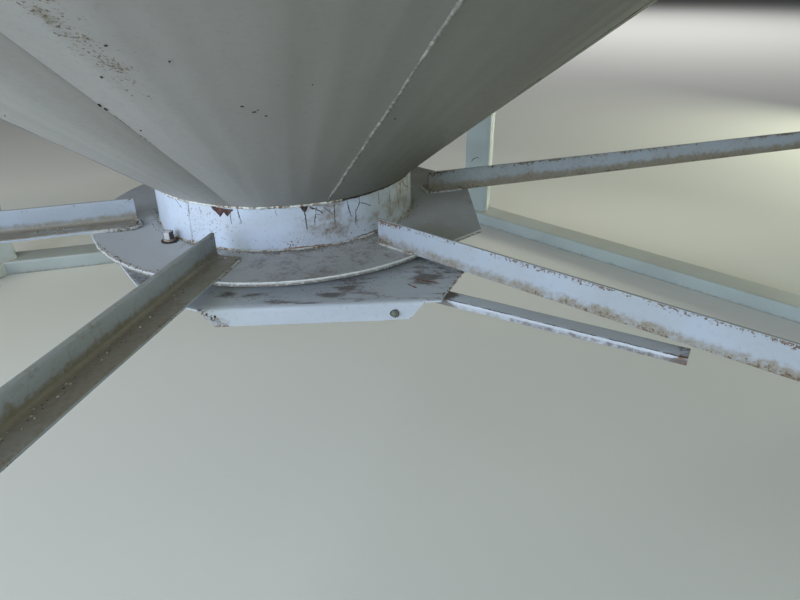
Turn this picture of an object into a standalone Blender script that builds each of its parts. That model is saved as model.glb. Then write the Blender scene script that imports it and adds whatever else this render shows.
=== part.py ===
"""Hopper bottom of a grain silo: welded cone, outlet, spider of braces, six legs, base and rim ring.

Metres, +Z up. The origin is on the ground, on the axis of the cone, and the first leg stands on +X.
Every name that ends in _DEG is an azimuth or an angle in degrees, counted from +X towards +Y.
"""

import math

import bmesh
import bpy

# Clearance between pieces that touch
GAP = 0.0003

# Outlet: a short rolled collar that stands on the flange plate
PLATE_TOP = 0.805
COLLAR_FOOT_RADIUS = 0.210
COLLAR_FLARE = 0.0013
COLLAR_HEIGHT = 0.064
COLLAR_WALL = 0.004
COLLAR_SIDES = 96

# Flange plate: a ring of flat plate round the collar, square-cut towards its one flat side
PLATE_FLANGE = 0.101
PLATE_THICKNESS = 0.006
PLATE_FLAT_BULGE = 0.004
PLATE_FLAT_AZIMUTH_DEG = -17.0
PLATE_CORNER_BULGE = 0.006
PLATE_CORNER_TURN_DEG = 45.0
PLATE_ARC_STEP_DEG = 4.0

# Throat under the plate, which carries the gate pan
THROAT_HEIGHT = 0.015
THROAT_WALL = 0.005

# Gate pan: flat sheet with a lip folded down along its straight front edge. Its corners and
# its edge reach past its round part, and its plan is turned a little
PAN_SHEET = 0.003
PAN_TURN_DEG = -13.5
PAN_INSET = 0.0185
PAN_FRONT_REACH = 0.0455
PAN_FRONT_LEFT = -0.083
PAN_FRONT_RIGHT = 0.221
PAN_RIGHT_CORNER_DEG = -40.5
PAN_RIGHT_CORNER_REACH = 0.069
PAN_LEFT_CORNER_DEG = -117.4
PAN_LEFT_CORNER_REACH = 0.0465
PAN_ARC_START_DEG = -24.0
PAN_ARC_END_DEG = 212.0
PAN_ARC_STEPS = 40
PAN_LIP_HEIGHT = 0.026
PAN_LIP_NOTCH = 0.022
PAN_LIP_END_CUT = 0.018

# Gate arm: an uneven angle bar under the pan
ARM_AZIMUTH_DEG = -46.6
ARM_SIDE_DISTANCE = 0.1517
ARM_START = 0.100
ARM_END = 0.6606
ARM_WIDTH = 0.024
ARM_LIP = 0.009
ARM_THICKNESS = 0.003

# Cone: ten rolled gores between the collar and the rim
CONE_SLOPE_DEG = 37.1
CONE_SHEET = 0.003
GORE_COUNT = 10
GORE_SEAM_DEG = -82.0
ARC_STEP_DEG = 3.0

# Rim ring: a channel rolled toes out, which seats on the legs
RIM_RADIUS = 2.134
RIM_HEIGHT = 0.120
RIM_FLANGE = 0.050
RIM_WEB = 0.006
RIM_FLANGE_THICKNESS = 0.008
RIM_SEGMENTS = 6
RIM_JOINT_STEPS = 27

# Legs: square tube, centred a little outside the ring's web
LEG_OUTSET = 0.007
LEG_WIDTH = 0.120
LEG_WALL = 0.005
LEG_CONE_CLEARANCE = 0.004

# Base: rectangular tube as wide as the legs, laid flat on the ground from leg to leg
BEAM_HEIGHT = 0.060
BEAM_WALL = 0.004

# Braces: equal angle bar, one to each leg, which starts a little outside the collar
BRACE_LEG = 0.038
BRACE_THICKNESS = 0.005
BRACE_SETBACK = 0.0315

# Each bay as built by hand: azimuth of the leg, turn of its brace away from that azimuth,
# and distance of the brace's heel from the axis, clockwise
BAYS = (
    (0.0, 1.8, 0.042),
    (56.6, 0.0, 0.020),
    (120.0, 0.0, 0.020),
    (180.0, -0.7, -0.015),
    (240.0, -0.9, 0.009),
    (301.0, 1.4, 0.038),
)

SMOOTH_ANGLE_DEG = 30.0

# Places and sizes that follow from the ones above
COLLAR_TOP_RADIUS = COLLAR_FOOT_RADIUS - COLLAR_FLARE
COLLAR_TOP = PLATE_TOP + COLLAR_HEIGHT
DISCHARGE_RADIUS = COLLAR_FOOT_RADIUS - COLLAR_WALL
PLATE_RADIUS = COLLAR_FOOT_RADIUS + PLATE_FLANGE
PAN_RADIUS = PLATE_RADIUS - PAN_INSET
BRACE_START = COLLAR_FOOT_RADIUS + BRACE_SETBACK
CONE_BOTTOM = COLLAR_TOP + GAP
SLOPE = math.radians(CONE_SLOPE_DEG)
LEG_RADIUS = RIM_RADIUS + LEG_OUTSET
LEG_INNER_FACE = LEG_RADIUS - LEG_WIDTH / 2


def cone_height(radius):
    """Height of the cone's outer face above the ground at a radius."""
    return CONE_BOTTOM + (radius - COLLAR_TOP_RADIUS) * math.tan(SLOPE)


RIM_BOTTOM = cone_height(LEG_INNER_FACE) - LEG_CONE_CLEARANCE
PLATE_BOTTOM = PLATE_TOP - PLATE_THICKNESS
PAN_TOP = PLATE_BOTTOM - THROAT_HEIGHT
PAN_BOTTOM = PAN_TOP - PAN_SHEET


def clear_scene():
    """Remove every object that the file already holds."""
    for old in list(bpy.data.objects):
        bpy.data.objects.remove(old, do_unlink=True)


def paint(name, colour, roughness, metallic=0.0):
    """A Principled material with one colour."""
    material = bpy.data.materials.new(name)
    material.use_nodes = True
    shader = material.node_tree.nodes["Principled BSDF"]
    shader.inputs["Base Color"].default_value = (*colour, 1.0)
    shader.inputs["Roughness"].default_value = roughness
    shader.inputs["Metallic"].default_value = metallic
    return material


def add_object(name, mesh, material):
    """Link a mesh to the scene as a smooth-shaded object with sharp edges kept."""
    mesh.materials.append(material)
    mesh.shade_smooth()
    mesh.set_sharp_from_angle(angle=math.radians(SMOOTH_ANGLE_DEG))
    item = bpy.data.objects.new(name, mesh)
    bpy.context.scene.collection.objects.link(item)
    return item


def finish_mesh(name, shape):
    """Turn a bmesh into a mesh with its faces pointing out."""
    bmesh.ops.recalc_face_normals(shape, faces=shape.faces[:])
    mesh = bpy.data.meshes.new(name)
    shape.to_mesh(mesh)
    shape.free()
    return mesh


def polar(radius, azimuth):
    """Plan point at a radius and an azimuth in radians."""
    return (radius * math.cos(azimuth), radius * math.sin(azimuth))


def loft(name, loops, closed):
    """Skin equal loops of points one after another, capped unless the chain of loops is closed."""
    shape = bmesh.new()
    rows = [[shape.verts.new(point) for point in loop] for loop in loops]
    pairs = list(zip(rows, rows[1:]))
    if closed:
        pairs.append((rows[-1], rows[0]))
    for near, far in pairs:
        for k in range(len(near)):
            n = (k + 1) % len(near)
            shape.faces.new((near[k], near[n], far[n], far[k]))
    if not closed:
        shape.faces.new(rows[0][::-1])
        shape.faces.new(rows[-1])
    return finish_mesh(name, shape)


def revolve(name, profile, sides):
    """Turn a closed profile of (radius, height) points all the way round the axis."""
    loops = []
    for k in range(sides):
        turn = math.tau * k / sides
        loops.append([(*polar(radius, turn), height) for radius, height in profile])
    return loft(name, loops, closed=True)


def sector(name, profile, start_deg, end_deg):
    """Turn a profile between two azimuths, held back by half a gap at each end."""
    steps = math.ceil((end_deg - start_deg) / ARC_STEP_DEG)
    loops = []
    for k in range(steps + 1):
        turn = math.radians(start_deg + (end_deg - start_deg) * k / steps)
        hold_back = {0: GAP / 2, steps: -GAP / 2}.get(k, 0.0)
        loops.append([(*polar(radius, turn + hold_back / radius), height) for radius, height in profile])
    return loft(name, loops, closed=False)


def prism(name, outline, low, high):
    """Extrude a plan outline between two heights."""
    return loft(name, [[(x, y, z) for x, y in outline] for z in (low, high)], closed=False)


def join_solid(item, operand, operation):
    """Apply a Boolean with an operand that stays in the scene as a hidden guide."""
    operand.hide_render = True
    operand.display_type = "WIRE"
    modifier = item.modifiers.new(operation.title(), "BOOLEAN")
    modifier.operation = operation
    modifier.object = operand
    modifier.solver = "EXACT"


def build_collar(material):
    """Rolled outlet collar, slightly wider at its foot."""
    foot = PLATE_TOP + GAP
    profile = (
        (COLLAR_FOOT_RADIUS, foot),
        (COLLAR_TOP_RADIUS, COLLAR_TOP),
        (COLLAR_TOP_RADIUS - COLLAR_WALL, COLLAR_TOP),
        (DISCHARGE_RADIUS, foot),
    )
    return add_object("outlet_collar", revolve("outlet_collar", profile, COLLAR_SIDES), material)


def plate_outline():
    """Round outline whose flat side has a square-cut corner at each end."""
    flat = math.radians(PLATE_FLAT_AZIMUTH_DEG)
    turn = math.radians(PLATE_CORNER_TURN_DEG)
    flat_distance = PLATE_RADIUS + PLATE_FLAT_BULGE
    corner_distance = PLATE_RADIUS + PLATE_CORNER_BULGE
    reach = (corner_distance - flat_distance * math.cos(turn)) / math.sin(turn)
    corner = math.atan2(reach, flat_distance)
    corner_radius = math.hypot(reach, flat_distance)
    points = [polar(corner_radius, flat - corner), polar(corner_radius, flat + corner)]
    first = flat + turn
    last = flat + math.tau - turn
    steps = round(math.degrees(last - first) / PLATE_ARC_STEP_DEG)
    for k in range(steps + 1):
        points.append(polar(PLATE_RADIUS, first + (last - first) * k / steps))
    return points


def build_plate(material):
    """Flange plate with the discharge hole cut through it."""
    mesh = prism("flange_plate", plate_outline(), PLATE_BOTTOM, PLATE_TOP)
    plate = add_object("flange_plate", mesh, material)
    hole = [polar(DISCHARGE_RADIUS, math.tau * k / COLLAR_SIDES) for k in range(COLLAR_SIDES)]
    cutter_mesh = prism("discharge_hole", hole, PLATE_BOTTOM - THROAT_HEIGHT, COLLAR_TOP)
    join_solid(plate, add_object("discharge_hole", cutter_mesh, material), "DIFFERENCE")
    return plate


def build_throat(material):
    """Short ring that carries the gate pan under the plate."""
    low = PAN_TOP + GAP
    high = PLATE_BOTTOM - GAP
    inner = DISCHARGE_RADIUS
    outer = DISCHARGE_RADIUS + THROAT_WALL
    profile = ((outer, low), (outer, high), (inner, high), (inner, low))
    return add_object("outlet_throat", revolve("outlet_throat", profile, COLLAR_SIDES), material)


def turned(points, angle_deg):
    """Plan points turned about the axis."""
    cosine = math.cos(math.radians(angle_deg))
    sine = math.sin(math.radians(angle_deg))
    return [(x * cosine - y * sine, x * sine + y * cosine) for x, y in points]


def build_pan(material):
    """Gate pan: a sheet with a straight front edge and a lip folded down along it."""
    front = -PAN_RADIUS - PAN_FRONT_REACH
    outline = [
        polar(PAN_RADIUS + PAN_LEFT_CORNER_REACH, math.radians(PAN_LEFT_CORNER_DEG)),
        (PAN_FRONT_LEFT, front),
        (PAN_FRONT_RIGHT, front),
        polar(PAN_RADIUS + PAN_RIGHT_CORNER_REACH, math.radians(PAN_RIGHT_CORNER_DEG)),
    ]
    start = math.radians(PAN_ARC_START_DEG)
    sweep = math.radians(PAN_ARC_END_DEG) - start
    for k in range(PAN_ARC_STEPS + 1):
        outline.append(polar(PAN_RADIUS, start + sweep * k / PAN_ARC_STEPS))
    sheet = prism("gate_pan", turned(outline, PAN_TURN_DEG), PAN_BOTTOM, PAN_TOP)
    pan = add_object("gate_pan", sheet, material)

    low = PAN_TOP - PAN_LIP_HEIGHT
    mid = PAN_TOP - PAN_SHEET / 2
    lip_right = PAN_FRONT_RIGHT - PAN_LIP_NOTCH
    face = (
        (PAN_FRONT_LEFT, mid),
        (PAN_FRONT_LEFT, PAN_BOTTOM),
        (PAN_FRONT_LEFT + PAN_LIP_END_CUT, low),
        (lip_right - PAN_LIP_END_CUT, low),
        (lip_right, PAN_BOTTOM),
        (lip_right, mid),
    )
    loops = []
    for y in (front, front + PAN_SHEET):
        plan = turned([(x, y) for x, z in face], PAN_TURN_DEG)
        loops.append([(px, py, z) for (px, py), (x, z) in zip(plan, face)])
    lip = add_object("pan_lip", loft("pan_lip", loops, closed=False), material)
    join_solid(pan, lip, "UNION")
    return pan


def angle_bar(name, section, start, ends, azimuth, base):
    """Bar along an azimuth: section points are (sideways to the left, height above base)."""
    along = polar(1.0, azimuth)
    left = (-along[1], along[0])

    def place(distance, side, height):
        x = along[0] * distance + left[0] * side
        y = along[1] * distance + left[1] * side
        return (x, y, base + height)

    near = [place(start, side, height) for side, height in section]
    far = [place(end, side, height) for end, (side, height) in zip(ends, section)]
    return loft(name, [near, far], closed=False)


def build_arm(material):
    """Gate arm: flat top face under the pan, short lip down along its front edge."""
    front = -ARM_SIDE_DISTANCE
    back = front + ARM_WIDTH
    section = (
        (front, -ARM_LIP),
        (front + ARM_THICKNESS, -ARM_LIP),
        (front + ARM_THICKNESS, -ARM_THICKNESS),
        (back, -ARM_THICKNESS),
        (back, 0.0),
        (front, 0.0),
    )
    ends = [ARM_END] * len(section)
    azimuth = math.radians(ARM_AZIMUTH_DEG)
    mesh = angle_bar("gate_arm", section, ARM_START, ends, azimuth, PAN_BOTTOM - GAP)
    return add_object("gate_arm", mesh, material)


def build_gores(material):
    """Cone sheets between weld seams, cut level at the collar and upright at the rim."""
    top_radius = RIM_RADIUS - GAP
    top = cone_height(top_radius)
    profile = (
        (COLLAR_TOP_RADIUS, CONE_BOTTOM),
        (top_radius, top),
        (top_radius, top + CONE_SHEET / math.cos(SLOPE)),
        (COLLAR_TOP_RADIUS - CONE_SHEET / math.sin(SLOPE), CONE_BOTTOM),
    )
    width = 360.0 / GORE_COUNT
    for k in range(GORE_COUNT):
        name = f"cone_gore_{k + 1}"
        start = GORE_SEAM_DEG + k * width
        mesh = sector(name, profile, start, start + width)
        add_object(name, mesh, material)


def build_rim(material):
    """Rolled channel in segments, web inside and toes out."""
    low = RIM_BOTTOM
    high = RIM_BOTTOM + RIM_HEIGHT
    toe = RIM_RADIUS + RIM_FLANGE
    web = RIM_RADIUS + RIM_WEB
    profile = (
        (RIM_RADIUS, low),
        (toe, low),
        (toe, low + RIM_FLANGE_THICKNESS),
        (web, low + RIM_FLANGE_THICKNESS),
        (web, high - RIM_FLANGE_THICKNESS),
        (toe, high - RIM_FLANGE_THICKNESS),
        (toe, high),
        (RIM_RADIUS, high),
    )
    width = 360.0 / RIM_SEGMENTS
    for k in range(RIM_SEGMENTS):
        name = f"rim_ring_{k + 1}"
        start = GORE_SEAM_DEG + RIM_JOINT_STEPS * ARC_STEP_DEG + k * width
        mesh = sector(name, profile, start, start + width)
        add_object(name, mesh, material)


def square(centre, width, azimuth):
    """Corners of a square whose sides follow an azimuth."""
    half = width / 2
    cosine = math.cos(azimuth)
    sine = math.sin(azimuth)
    corners = []
    for u, v in ((-half, -half), (half, -half), (half, half), (-half, half)):
        x = centre[0] + u * cosine - v * sine
        y = centre[1] + u * sine + v * cosine
        corners.append((x, y))
    return corners


def build_leg(number, azimuth, material):
    """Square tube leg, open at both ends, from the base to the rim ring."""
    name = f"leg_{number}"
    centre = polar(LEG_RADIUS, azimuth)
    outer = square(centre, LEG_WIDTH, azimuth)
    inner = square(centre, LEG_WIDTH - 2 * LEG_WALL, azimuth)
    low = BEAM_HEIGHT + GAP
    high = RIM_BOTTOM - GAP
    loops = []
    for corners, height in ((outer, low), (outer, high), (inner, high), (inner, low)):
        loops.append([(x, y, height) for x, y in corners])
    return add_object(name, loft(name, loops, closed=True), material)


def unit(start, end):
    """Plan direction from one point to another."""
    length = math.dist(start, end)
    return ((end[0] - start[0]) / length, (end[1] - start[1]) / length)


def beam_end(before, corner, after, leaving, inset):
    """Mitred end section of the beam that leaves, or reaches, a corner of the base."""
    reach = unit(before, corner)
    leave = unit(corner, after)
    spread = 1.0 + reach[0] * leave[0] + reach[1] * leave[1]
    mitre = (-(reach[1] + leave[1]) / spread, (reach[0] + leave[0]) / spread)
    along, sign = (leave, 1.0) if leaving else (reach, -1.0)
    hold_back = sign * GAP / 2 / math.sqrt(spread / 2)
    half = LEG_WIDTH / 2 - inset
    low = inset
    high = BEAM_HEIGHT - inset
    points = []
    for side, height in ((-half, low), (half, low), (half, high), (-half, high)):
        x = corner[0] + side * mitre[0] + hold_back * along[0]
        y = corner[1] + side * mitre[1] + hold_back * along[1]
        points.append((x, y, height))
    return points


def build_base(material):
    """Ring of tube beams flat on the ground, mitred to each other under the legs."""
    centres = [polar(LEG_RADIUS, math.radians(bay[0])) for bay in BAYS]
    count = len(centres)
    for k in range(count):
        before, near, far, after = (centres[(k + step) % count] for step in (-1, 0, 1, 2))
        name = f"base_beam_{k + 1}"
        loops = [
            beam_end(before, near, far, True, 0.0),
            beam_end(near, far, after, False, 0.0),
            beam_end(near, far, after, False, BEAM_WALL),
            beam_end(before, near, far, True, BEAM_WALL),
        ]
        add_object(name, loft(name, loops, closed=True), material)


def build_brace(number, azimuth, skew, offset, material):
    """Angle bar brace on the flange plate, mitred to the inner face of its leg."""
    name = f"brace_{number}"
    heel = -offset
    section = (
        (heel, 0.0),
        (heel + BRACE_LEG, 0.0),
        (heel + BRACE_LEG, BRACE_THICKNESS),
        (heel + BRACE_THICKNESS, BRACE_THICKNESS),
        (heel + BRACE_THICKNESS, BRACE_LEG),
        (heel, BRACE_LEG),
    )
    face = LEG_INNER_FACE - GAP
    ends = [(face + side * math.sin(skew)) / math.cos(skew) for side, height in section]
    mesh = angle_bar(name, section, BRACE_START, ends, azimuth + skew, PLATE_TOP + GAP)
    return add_object(name, mesh, material)


def build():
    """Build every piece of the hopper bottom."""
    clear_scene()
    cone_paint = paint("cone_paint", (0.33, 0.34, 0.33), 0.55)
    collar_paint = paint("collar_paint", (0.62, 0.66, 0.72), 0.5)
    plate_paint = paint("plate_paint", (0.33, 0.32, 0.30), 0.7)
    pan_paint = paint("pan_paint", (0.40, 0.42, 0.43), 0.65)
    brace_paint = paint("brace_paint", (0.52, 0.57, 0.63), 0.55)
    leg_paint = paint("leg_paint", (0.50, 0.56, 0.60), 0.5)

    build_collar(collar_paint)
    build_plate(plate_paint)
    build_throat(plate_paint)
    build_pan(pan_paint)
    build_arm(pan_paint)
    build_gores(cone_paint)
    build_rim(cone_paint)
    build_base(leg_paint)
    for number, (leg_deg, skew_deg, offset) in enumerate(BAYS, start=1):
        azimuth = math.radians(leg_deg)
        build_leg(number, azimuth, leg_paint)
        build_brace(number, azimuth, math.radians(skew_deg), offset, brace_paint)


build()
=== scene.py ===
"""Dressed model of a grain silo's hopper bottom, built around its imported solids.

Lengths are metres and azimuths are degrees from +X towards +Y, as in the solids. Each sub-assembly is a
class with its own sizes. Its pieces replace the solids one for one, and its welds, cracks, rust and
fasteners lie on them.
"""

import logging
import math
from dataclasses import dataclass, field
from enum import Enum
from typing import Mapping, Protocol, Sequence

import bmesh
import bpy
import numpy as np
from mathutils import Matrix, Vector

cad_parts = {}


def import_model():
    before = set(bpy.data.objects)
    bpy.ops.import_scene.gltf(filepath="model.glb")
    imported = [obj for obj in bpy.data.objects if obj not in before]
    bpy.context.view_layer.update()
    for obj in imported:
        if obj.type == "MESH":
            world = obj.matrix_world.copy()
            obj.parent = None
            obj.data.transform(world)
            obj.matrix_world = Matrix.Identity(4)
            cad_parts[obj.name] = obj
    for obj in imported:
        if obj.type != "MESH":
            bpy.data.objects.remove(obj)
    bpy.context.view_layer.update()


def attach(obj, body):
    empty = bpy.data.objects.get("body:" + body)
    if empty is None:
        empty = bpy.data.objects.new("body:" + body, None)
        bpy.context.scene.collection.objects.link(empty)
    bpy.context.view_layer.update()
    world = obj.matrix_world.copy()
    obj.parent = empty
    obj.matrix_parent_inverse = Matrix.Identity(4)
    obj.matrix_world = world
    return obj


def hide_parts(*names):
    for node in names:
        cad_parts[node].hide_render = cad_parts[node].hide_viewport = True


LOG = logging.getLogger("hopper")
Array = np.ndarray
Number = Array | float
Colour = tuple[float, float, float]
Pair = tuple[float, float]
Corner = tuple[float, float, float]
# The last mask is painted light: it darkens a face towards its finish's dirt colour where less light falls.
MASKS = ("wear", "grime", "stain", "tint")
MM = 0.001


# Sizes

@dataclass(frozen=True)
class HopperSizes:
    """Sizes that more than one sub-assembly needs, the same as the solids'."""

    gap: float = 0.0003
    plate_top: float = 0.805
    plate_thickness: float = 0.006
    plate_radius: float = 0.311
    collar_foot_radius: float = 0.210
    collar_top_radius: float = 0.2087
    collar_height: float = 0.064
    discharge_radius: float = 0.206
    throat_height: float = 0.015
    sheet: float = 0.003
    cone_slope_deg: float = 37.1
    rim_radius: float = 2.134
    rim_height: float = 0.120
    leg_radius: float = 2.141
    leg_width: float = 0.120
    leg_cone_clearance: float = 0.004
    beam_height: float = 0.060

    @property
    def plate_bottom(self) -> float:
        """Height of the flange plate's underside."""
        return self.plate_top - self.plate_thickness

    @property
    def pan_top(self) -> float:
        """Height of the gate pan's sheet."""
        return self.plate_bottom - self.throat_height

    @property
    def collar_top(self) -> float:
        """Height of the collar's upper edge."""
        return self.plate_top + self.collar_height

    @property
    def leg_inner_face(self) -> float:
        """Distance of a leg's inner face from the axis."""
        return self.leg_radius - self.leg_width / 2

    @property
    def slope(self) -> float:
        """The cone's slope in radians."""
        return math.radians(self.cone_slope_deg)

    def cone_height(self, radius: Number) -> Number:
        """Height of the cone's outer face at a radius."""
        return self.collar_top + self.gap + (radius - self.collar_top_radius) * math.tan(self.slope)

    @property
    def rim_bottom(self) -> float:
        """Height of the rim ring's lower flange."""
        return self.cone_height(self.leg_inner_face) - self.leg_cone_clearance


@dataclass(frozen=True)
class Bay:
    """One leg and its brace as they were set by hand."""

    number: int
    leg_deg: float
    skew_deg: float
    heel: float
    soil: float = 0.1

    @property
    def brace_deg(self) -> float:
        """Azimuth that the brace runs along."""
        return self.leg_deg + self.skew_deg


SIZES = HopperSizes()
BAYS = (
    Bay(1, 0.0, 1.8, -0.042, 0.35),
    Bay(2, 56.6, 0.0, -0.020),
    Bay(3, 120.0, 0.0, -0.020),
    Bay(4, 180.0, -0.7, 0.015, 0.15),
    Bay(5, 240.0, -0.9, -0.009, 0.30),
    Bay(6, 301.0, 1.4, -0.038, 0.10),
)


class Slot(Enum):
    """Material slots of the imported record."""

    CONE = "cone_paint"
    COLLAR = "collar_paint"
    PLATE = "plate_paint"
    PAN = "pan_paint"
    BRACE = "brace_paint"
    LEG = "leg_paint"
    RIM = "rim_paint"


# Shape helpers

def ring_point(radius: Number, azimuth_deg: Number, height: Number) -> Array:
    """Points from cylindrical coordinates.

    Args:
        radius: Distance from the axis.
        azimuth_deg: Azimuth.
        height: Height above the ground.

    Returns:
        Array whose last axis is x, y, z.
    """
    radius, azimuth_deg, height = np.broadcast_arrays(radius, azimuth_deg, height)
    turn = np.radians(azimuth_deg)
    return np.stack([radius * np.cos(turn), radius * np.sin(turn), height], axis=-1)


def turned(x: Number, y: Number, height: Number, azimuth_deg: float) -> Array:
    """Points from coordinates in a frame turned about the axis.

    Args:
        x: Distance along the azimuth.
        y: Distance to its left.
        height: Height above the ground.
        azimuth_deg: Azimuth that the frame is turned to.

    Returns:
        Array whose last axis is x, y, z.
    """
    x, y, height = np.broadcast_arrays(x, y, height)
    cosine, sine = np.cos(np.radians(azimuth_deg)), np.sin(np.radians(azimuth_deg))
    return np.stack([x * cosine - y * sine, x * sine + y * cosine, height], axis=-1)


def ease(low: float, high: float, value: Number) -> Array:
    """Smooth step from 0 at low to 1 at high."""
    share = np.clip((np.asarray(value, float) - low) / (high - low), 0.0, 1.0)
    return share * share * (3.0 - 2.0 * share)


def bump_at(value: Number, centre: float, width: float) -> Array:
    """Bell of height 1 around a centre."""
    return np.exp(-(((np.asarray(value, float) - centre) / width) ** 2))


def drift(seed: int, *along: Array, waves: int = 7) -> Array:
    """Soft noise between about -1 and 1, the same on each run.

    Args:
        seed: Number that picks the pattern.
        along: One array for each coordinate, scaled so that 1 is the size of a swell.
        waves: Number of sine waves added up.

    Returns:
        Array of the coordinates' shape.
    """
    rng = np.random.default_rng(seed)
    total = 0.0
    for wave in range(waves):
        slope = rng.normal(0.0, 2.2 * 1.35**wave, len(along))
        phase = rng.uniform(0.0, math.tau)
        total = total + np.sin(sum(k * a for k, a in zip(slope, along)) + phase) / 1.25**wave
    return total / 2.6


def rounded(corners: Sequence[Corner], steps: int = 4) -> Array:
    """Closed outline with rounded corners.

    Args:
        corners: x, y and radius of each corner, in order.
        steps: Number of chords in each rounding.

    Returns:
        Outline points, one row each.
    """
    points: list[Array] = []
    spots = np.array([c[:2] for c in corners], float)
    for number, (here, radius) in enumerate(zip(spots, (c[2] for c in corners))):
        back = spots[number - 1] - here
        ahead = spots[(number + 1) % len(spots)] - here
        back /= np.linalg.norm(back)
        ahead /= np.linalg.norm(ahead)
        half = math.acos(float(np.clip(back @ ahead, -1.0, 1.0))) / 2
        middle = (back + ahead) / np.linalg.norm(back + ahead)
        centre = here + middle * radius / math.sin(half)
        first = here + back * radius / math.tan(half) - centre
        last = here + ahead * radius / math.tan(half) - centre
        square = np.array([-first[1], first[0]])
        sweep = math.atan2(float(square @ last), float(first @ last))
        for step in range(steps + 1):
            turn = sweep * step / steps
            points.append(centre + first * math.cos(turn) + square * math.sin(turn))
    return np.array(points)


def square_outline(half_wide: float, half_tall: float, radius: float, steps: int, spacing: float) -> Array:
    """Rectangle with rounded corners and points along its sides."""
    corners = [(x * half_wide, y * half_tall, radius) for x, y in ((-1, -1), (1, -1), (1, 1), (-1, 1))]
    return densified(rounded(corners, steps), spacing)


def densified(outline: Array, spacing: float) -> Array:
    """Closed outline with points added on its long sides.

    Args:
        outline: Outline points.
        spacing: Longest side that stays undivided.

    Returns:
        The denser outline.
    """
    points = []
    for start, end in zip(outline, np.roll(outline, -1, axis=0)):
        cuts = max(1, math.ceil(float(np.linalg.norm(end - start)) / spacing))
        points += [start + (end - start) * k / cuts for k in range(cuts)]
    return np.array(points)


def near_points(outline: Array, spots: Sequence[Pair], reach: float) -> Array:
    """One row of shares from 0 to 1 that say how near each outline point is to any of the spots."""
    away = np.min([np.hypot(outline[:, 0] - x, outline[:, 1] - y) for x, y in spots], axis=0)
    return 1.0 - ease(0.0, reach, away)[None, :]


@dataclass
class Skin:
    """Points, faces and masks of one mesh in the making."""

    points: list[Array] = field(default_factory=list)
    faces: list[tuple[int, ...]] = field(default_factory=list)
    masks: dict[str, list[Array]] = field(default_factory=lambda: {m: [] for m in MASKS})
    count: int = 0

    def grid(self, points: Array, wrap_rows: bool = False, wrap_columns: bool = False,
             **masks: Number) -> Array:
        """Adds a lattice of quads.

        Args:
            points: Rows by columns by 3.
            wrap_rows: Joins the last row to the first.
            wrap_columns: Joins the last column to the first.
            masks: Values of masks, each rows by columns or broadcastable to it.

        Returns:
            Point numbers, rows by columns.
        """
        rows, columns = points.shape[:2]
        numbers = np.arange(rows * columns).reshape(rows, columns) + self.count
        self.count += rows * columns
        self.points.append(points.reshape(-1, 3))
        for name in MASKS:
            self.masks[name].append(np.broadcast_to(masks.get(name, 0.0), (rows, columns)).reshape(-1))
        tall = np.concatenate([numbers, numbers[:1]]) if wrap_rows else numbers
        wide = np.concatenate([tall, tall[:, :1]], axis=1) if wrap_columns else tall
        quads = np.stack([wide[:-1, :-1], wide[:-1, 1:], wide[1:, 1:], wide[1:, :-1]], axis=-1)
        self.faces += [tuple(q) for q in quads.reshape(-1, 4).tolist()]
        return numbers

    def skirt(self, near: Array, far: Array, wrap: bool = False) -> None:
        """Quads between two equal strings of point numbers."""
        for k in range(len(near) - (0 if wrap else 1)):
            n = (k + 1) % len(near)
            self.faces.append((int(near[k]), int(near[n]), int(far[n]), int(far[k])))

    def cap(self, *loops: Array) -> None:
        """One face over each loop of point numbers."""
        self.faces += [tuple(int(n) for n in loop) for loop in loops]

    def slab(self, outer: Array, inner: Array, tint: Number, **masks: Number) -> "Skin":
        """Closed sheet between two equal lattices.

        Args:
            outer: Lattice of the outer face.
            inner: Lattice of the inner face.
            tint: Painted shade of the outer face, darker where less light falls.
            masks: Masks of both faces.

        Returns:
            This skin.
        """
        front = self.grid(outer, tint=tint, **masks)
        back = self.grid(inner, **masks)
        for side in (np.s_[0], np.s_[-1], np.s_[:, 0], np.s_[:, -1]):
            self.skirt(front[side], back[side])
        return self

    def bar(self, loops: Array, **masks: Number) -> "Skin":
        """Solid bar through loops of points, capped at both ends."""
        numbers = self.grid(loops, wrap_columns=True, **masks)
        self.cap(numbers[0], numbers[-1])
        return self

    def tube(self, outer: Array, inner: Array, **masks: Number) -> "Skin":
        """Open-ended tube between outer and inner loops, with masks on its outside."""
        front = self.grid(outer, wrap_columns=True, **masks)
        back = self.grid(inner, wrap_columns=True)
        self.skirt(front[0], back[0], True)
        self.skirt(front[-1], back[-1], True)
        return self

    def give(self, name: str, finish: "Finish", slot: Slot, *nodes: str, sharp_deg: float = 40.0) -> None:
        """Makes the piece and hands it over.

        Args:
            name: Name of the piece.
            finish: Its finish.
            slot: Material slot; not used.
            nodes: Solids that it stands for.
            sharp_deg: Angle between faces from which an edge stays sharp.
        """
        mesh = bpy.data.meshes.new(name)
        mesh.from_pydata(np.concatenate(self.points).tolist(), [], self.faces)
        for mask in MASKS:
            layer = mesh.attributes.new(mask, "FLOAT", "POINT")
            layer.data.foreach_set("value", np.concatenate(self.masks[mask]).astype(np.float32))
        hand_over(mesh, finish, nodes, sharp_deg)


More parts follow.
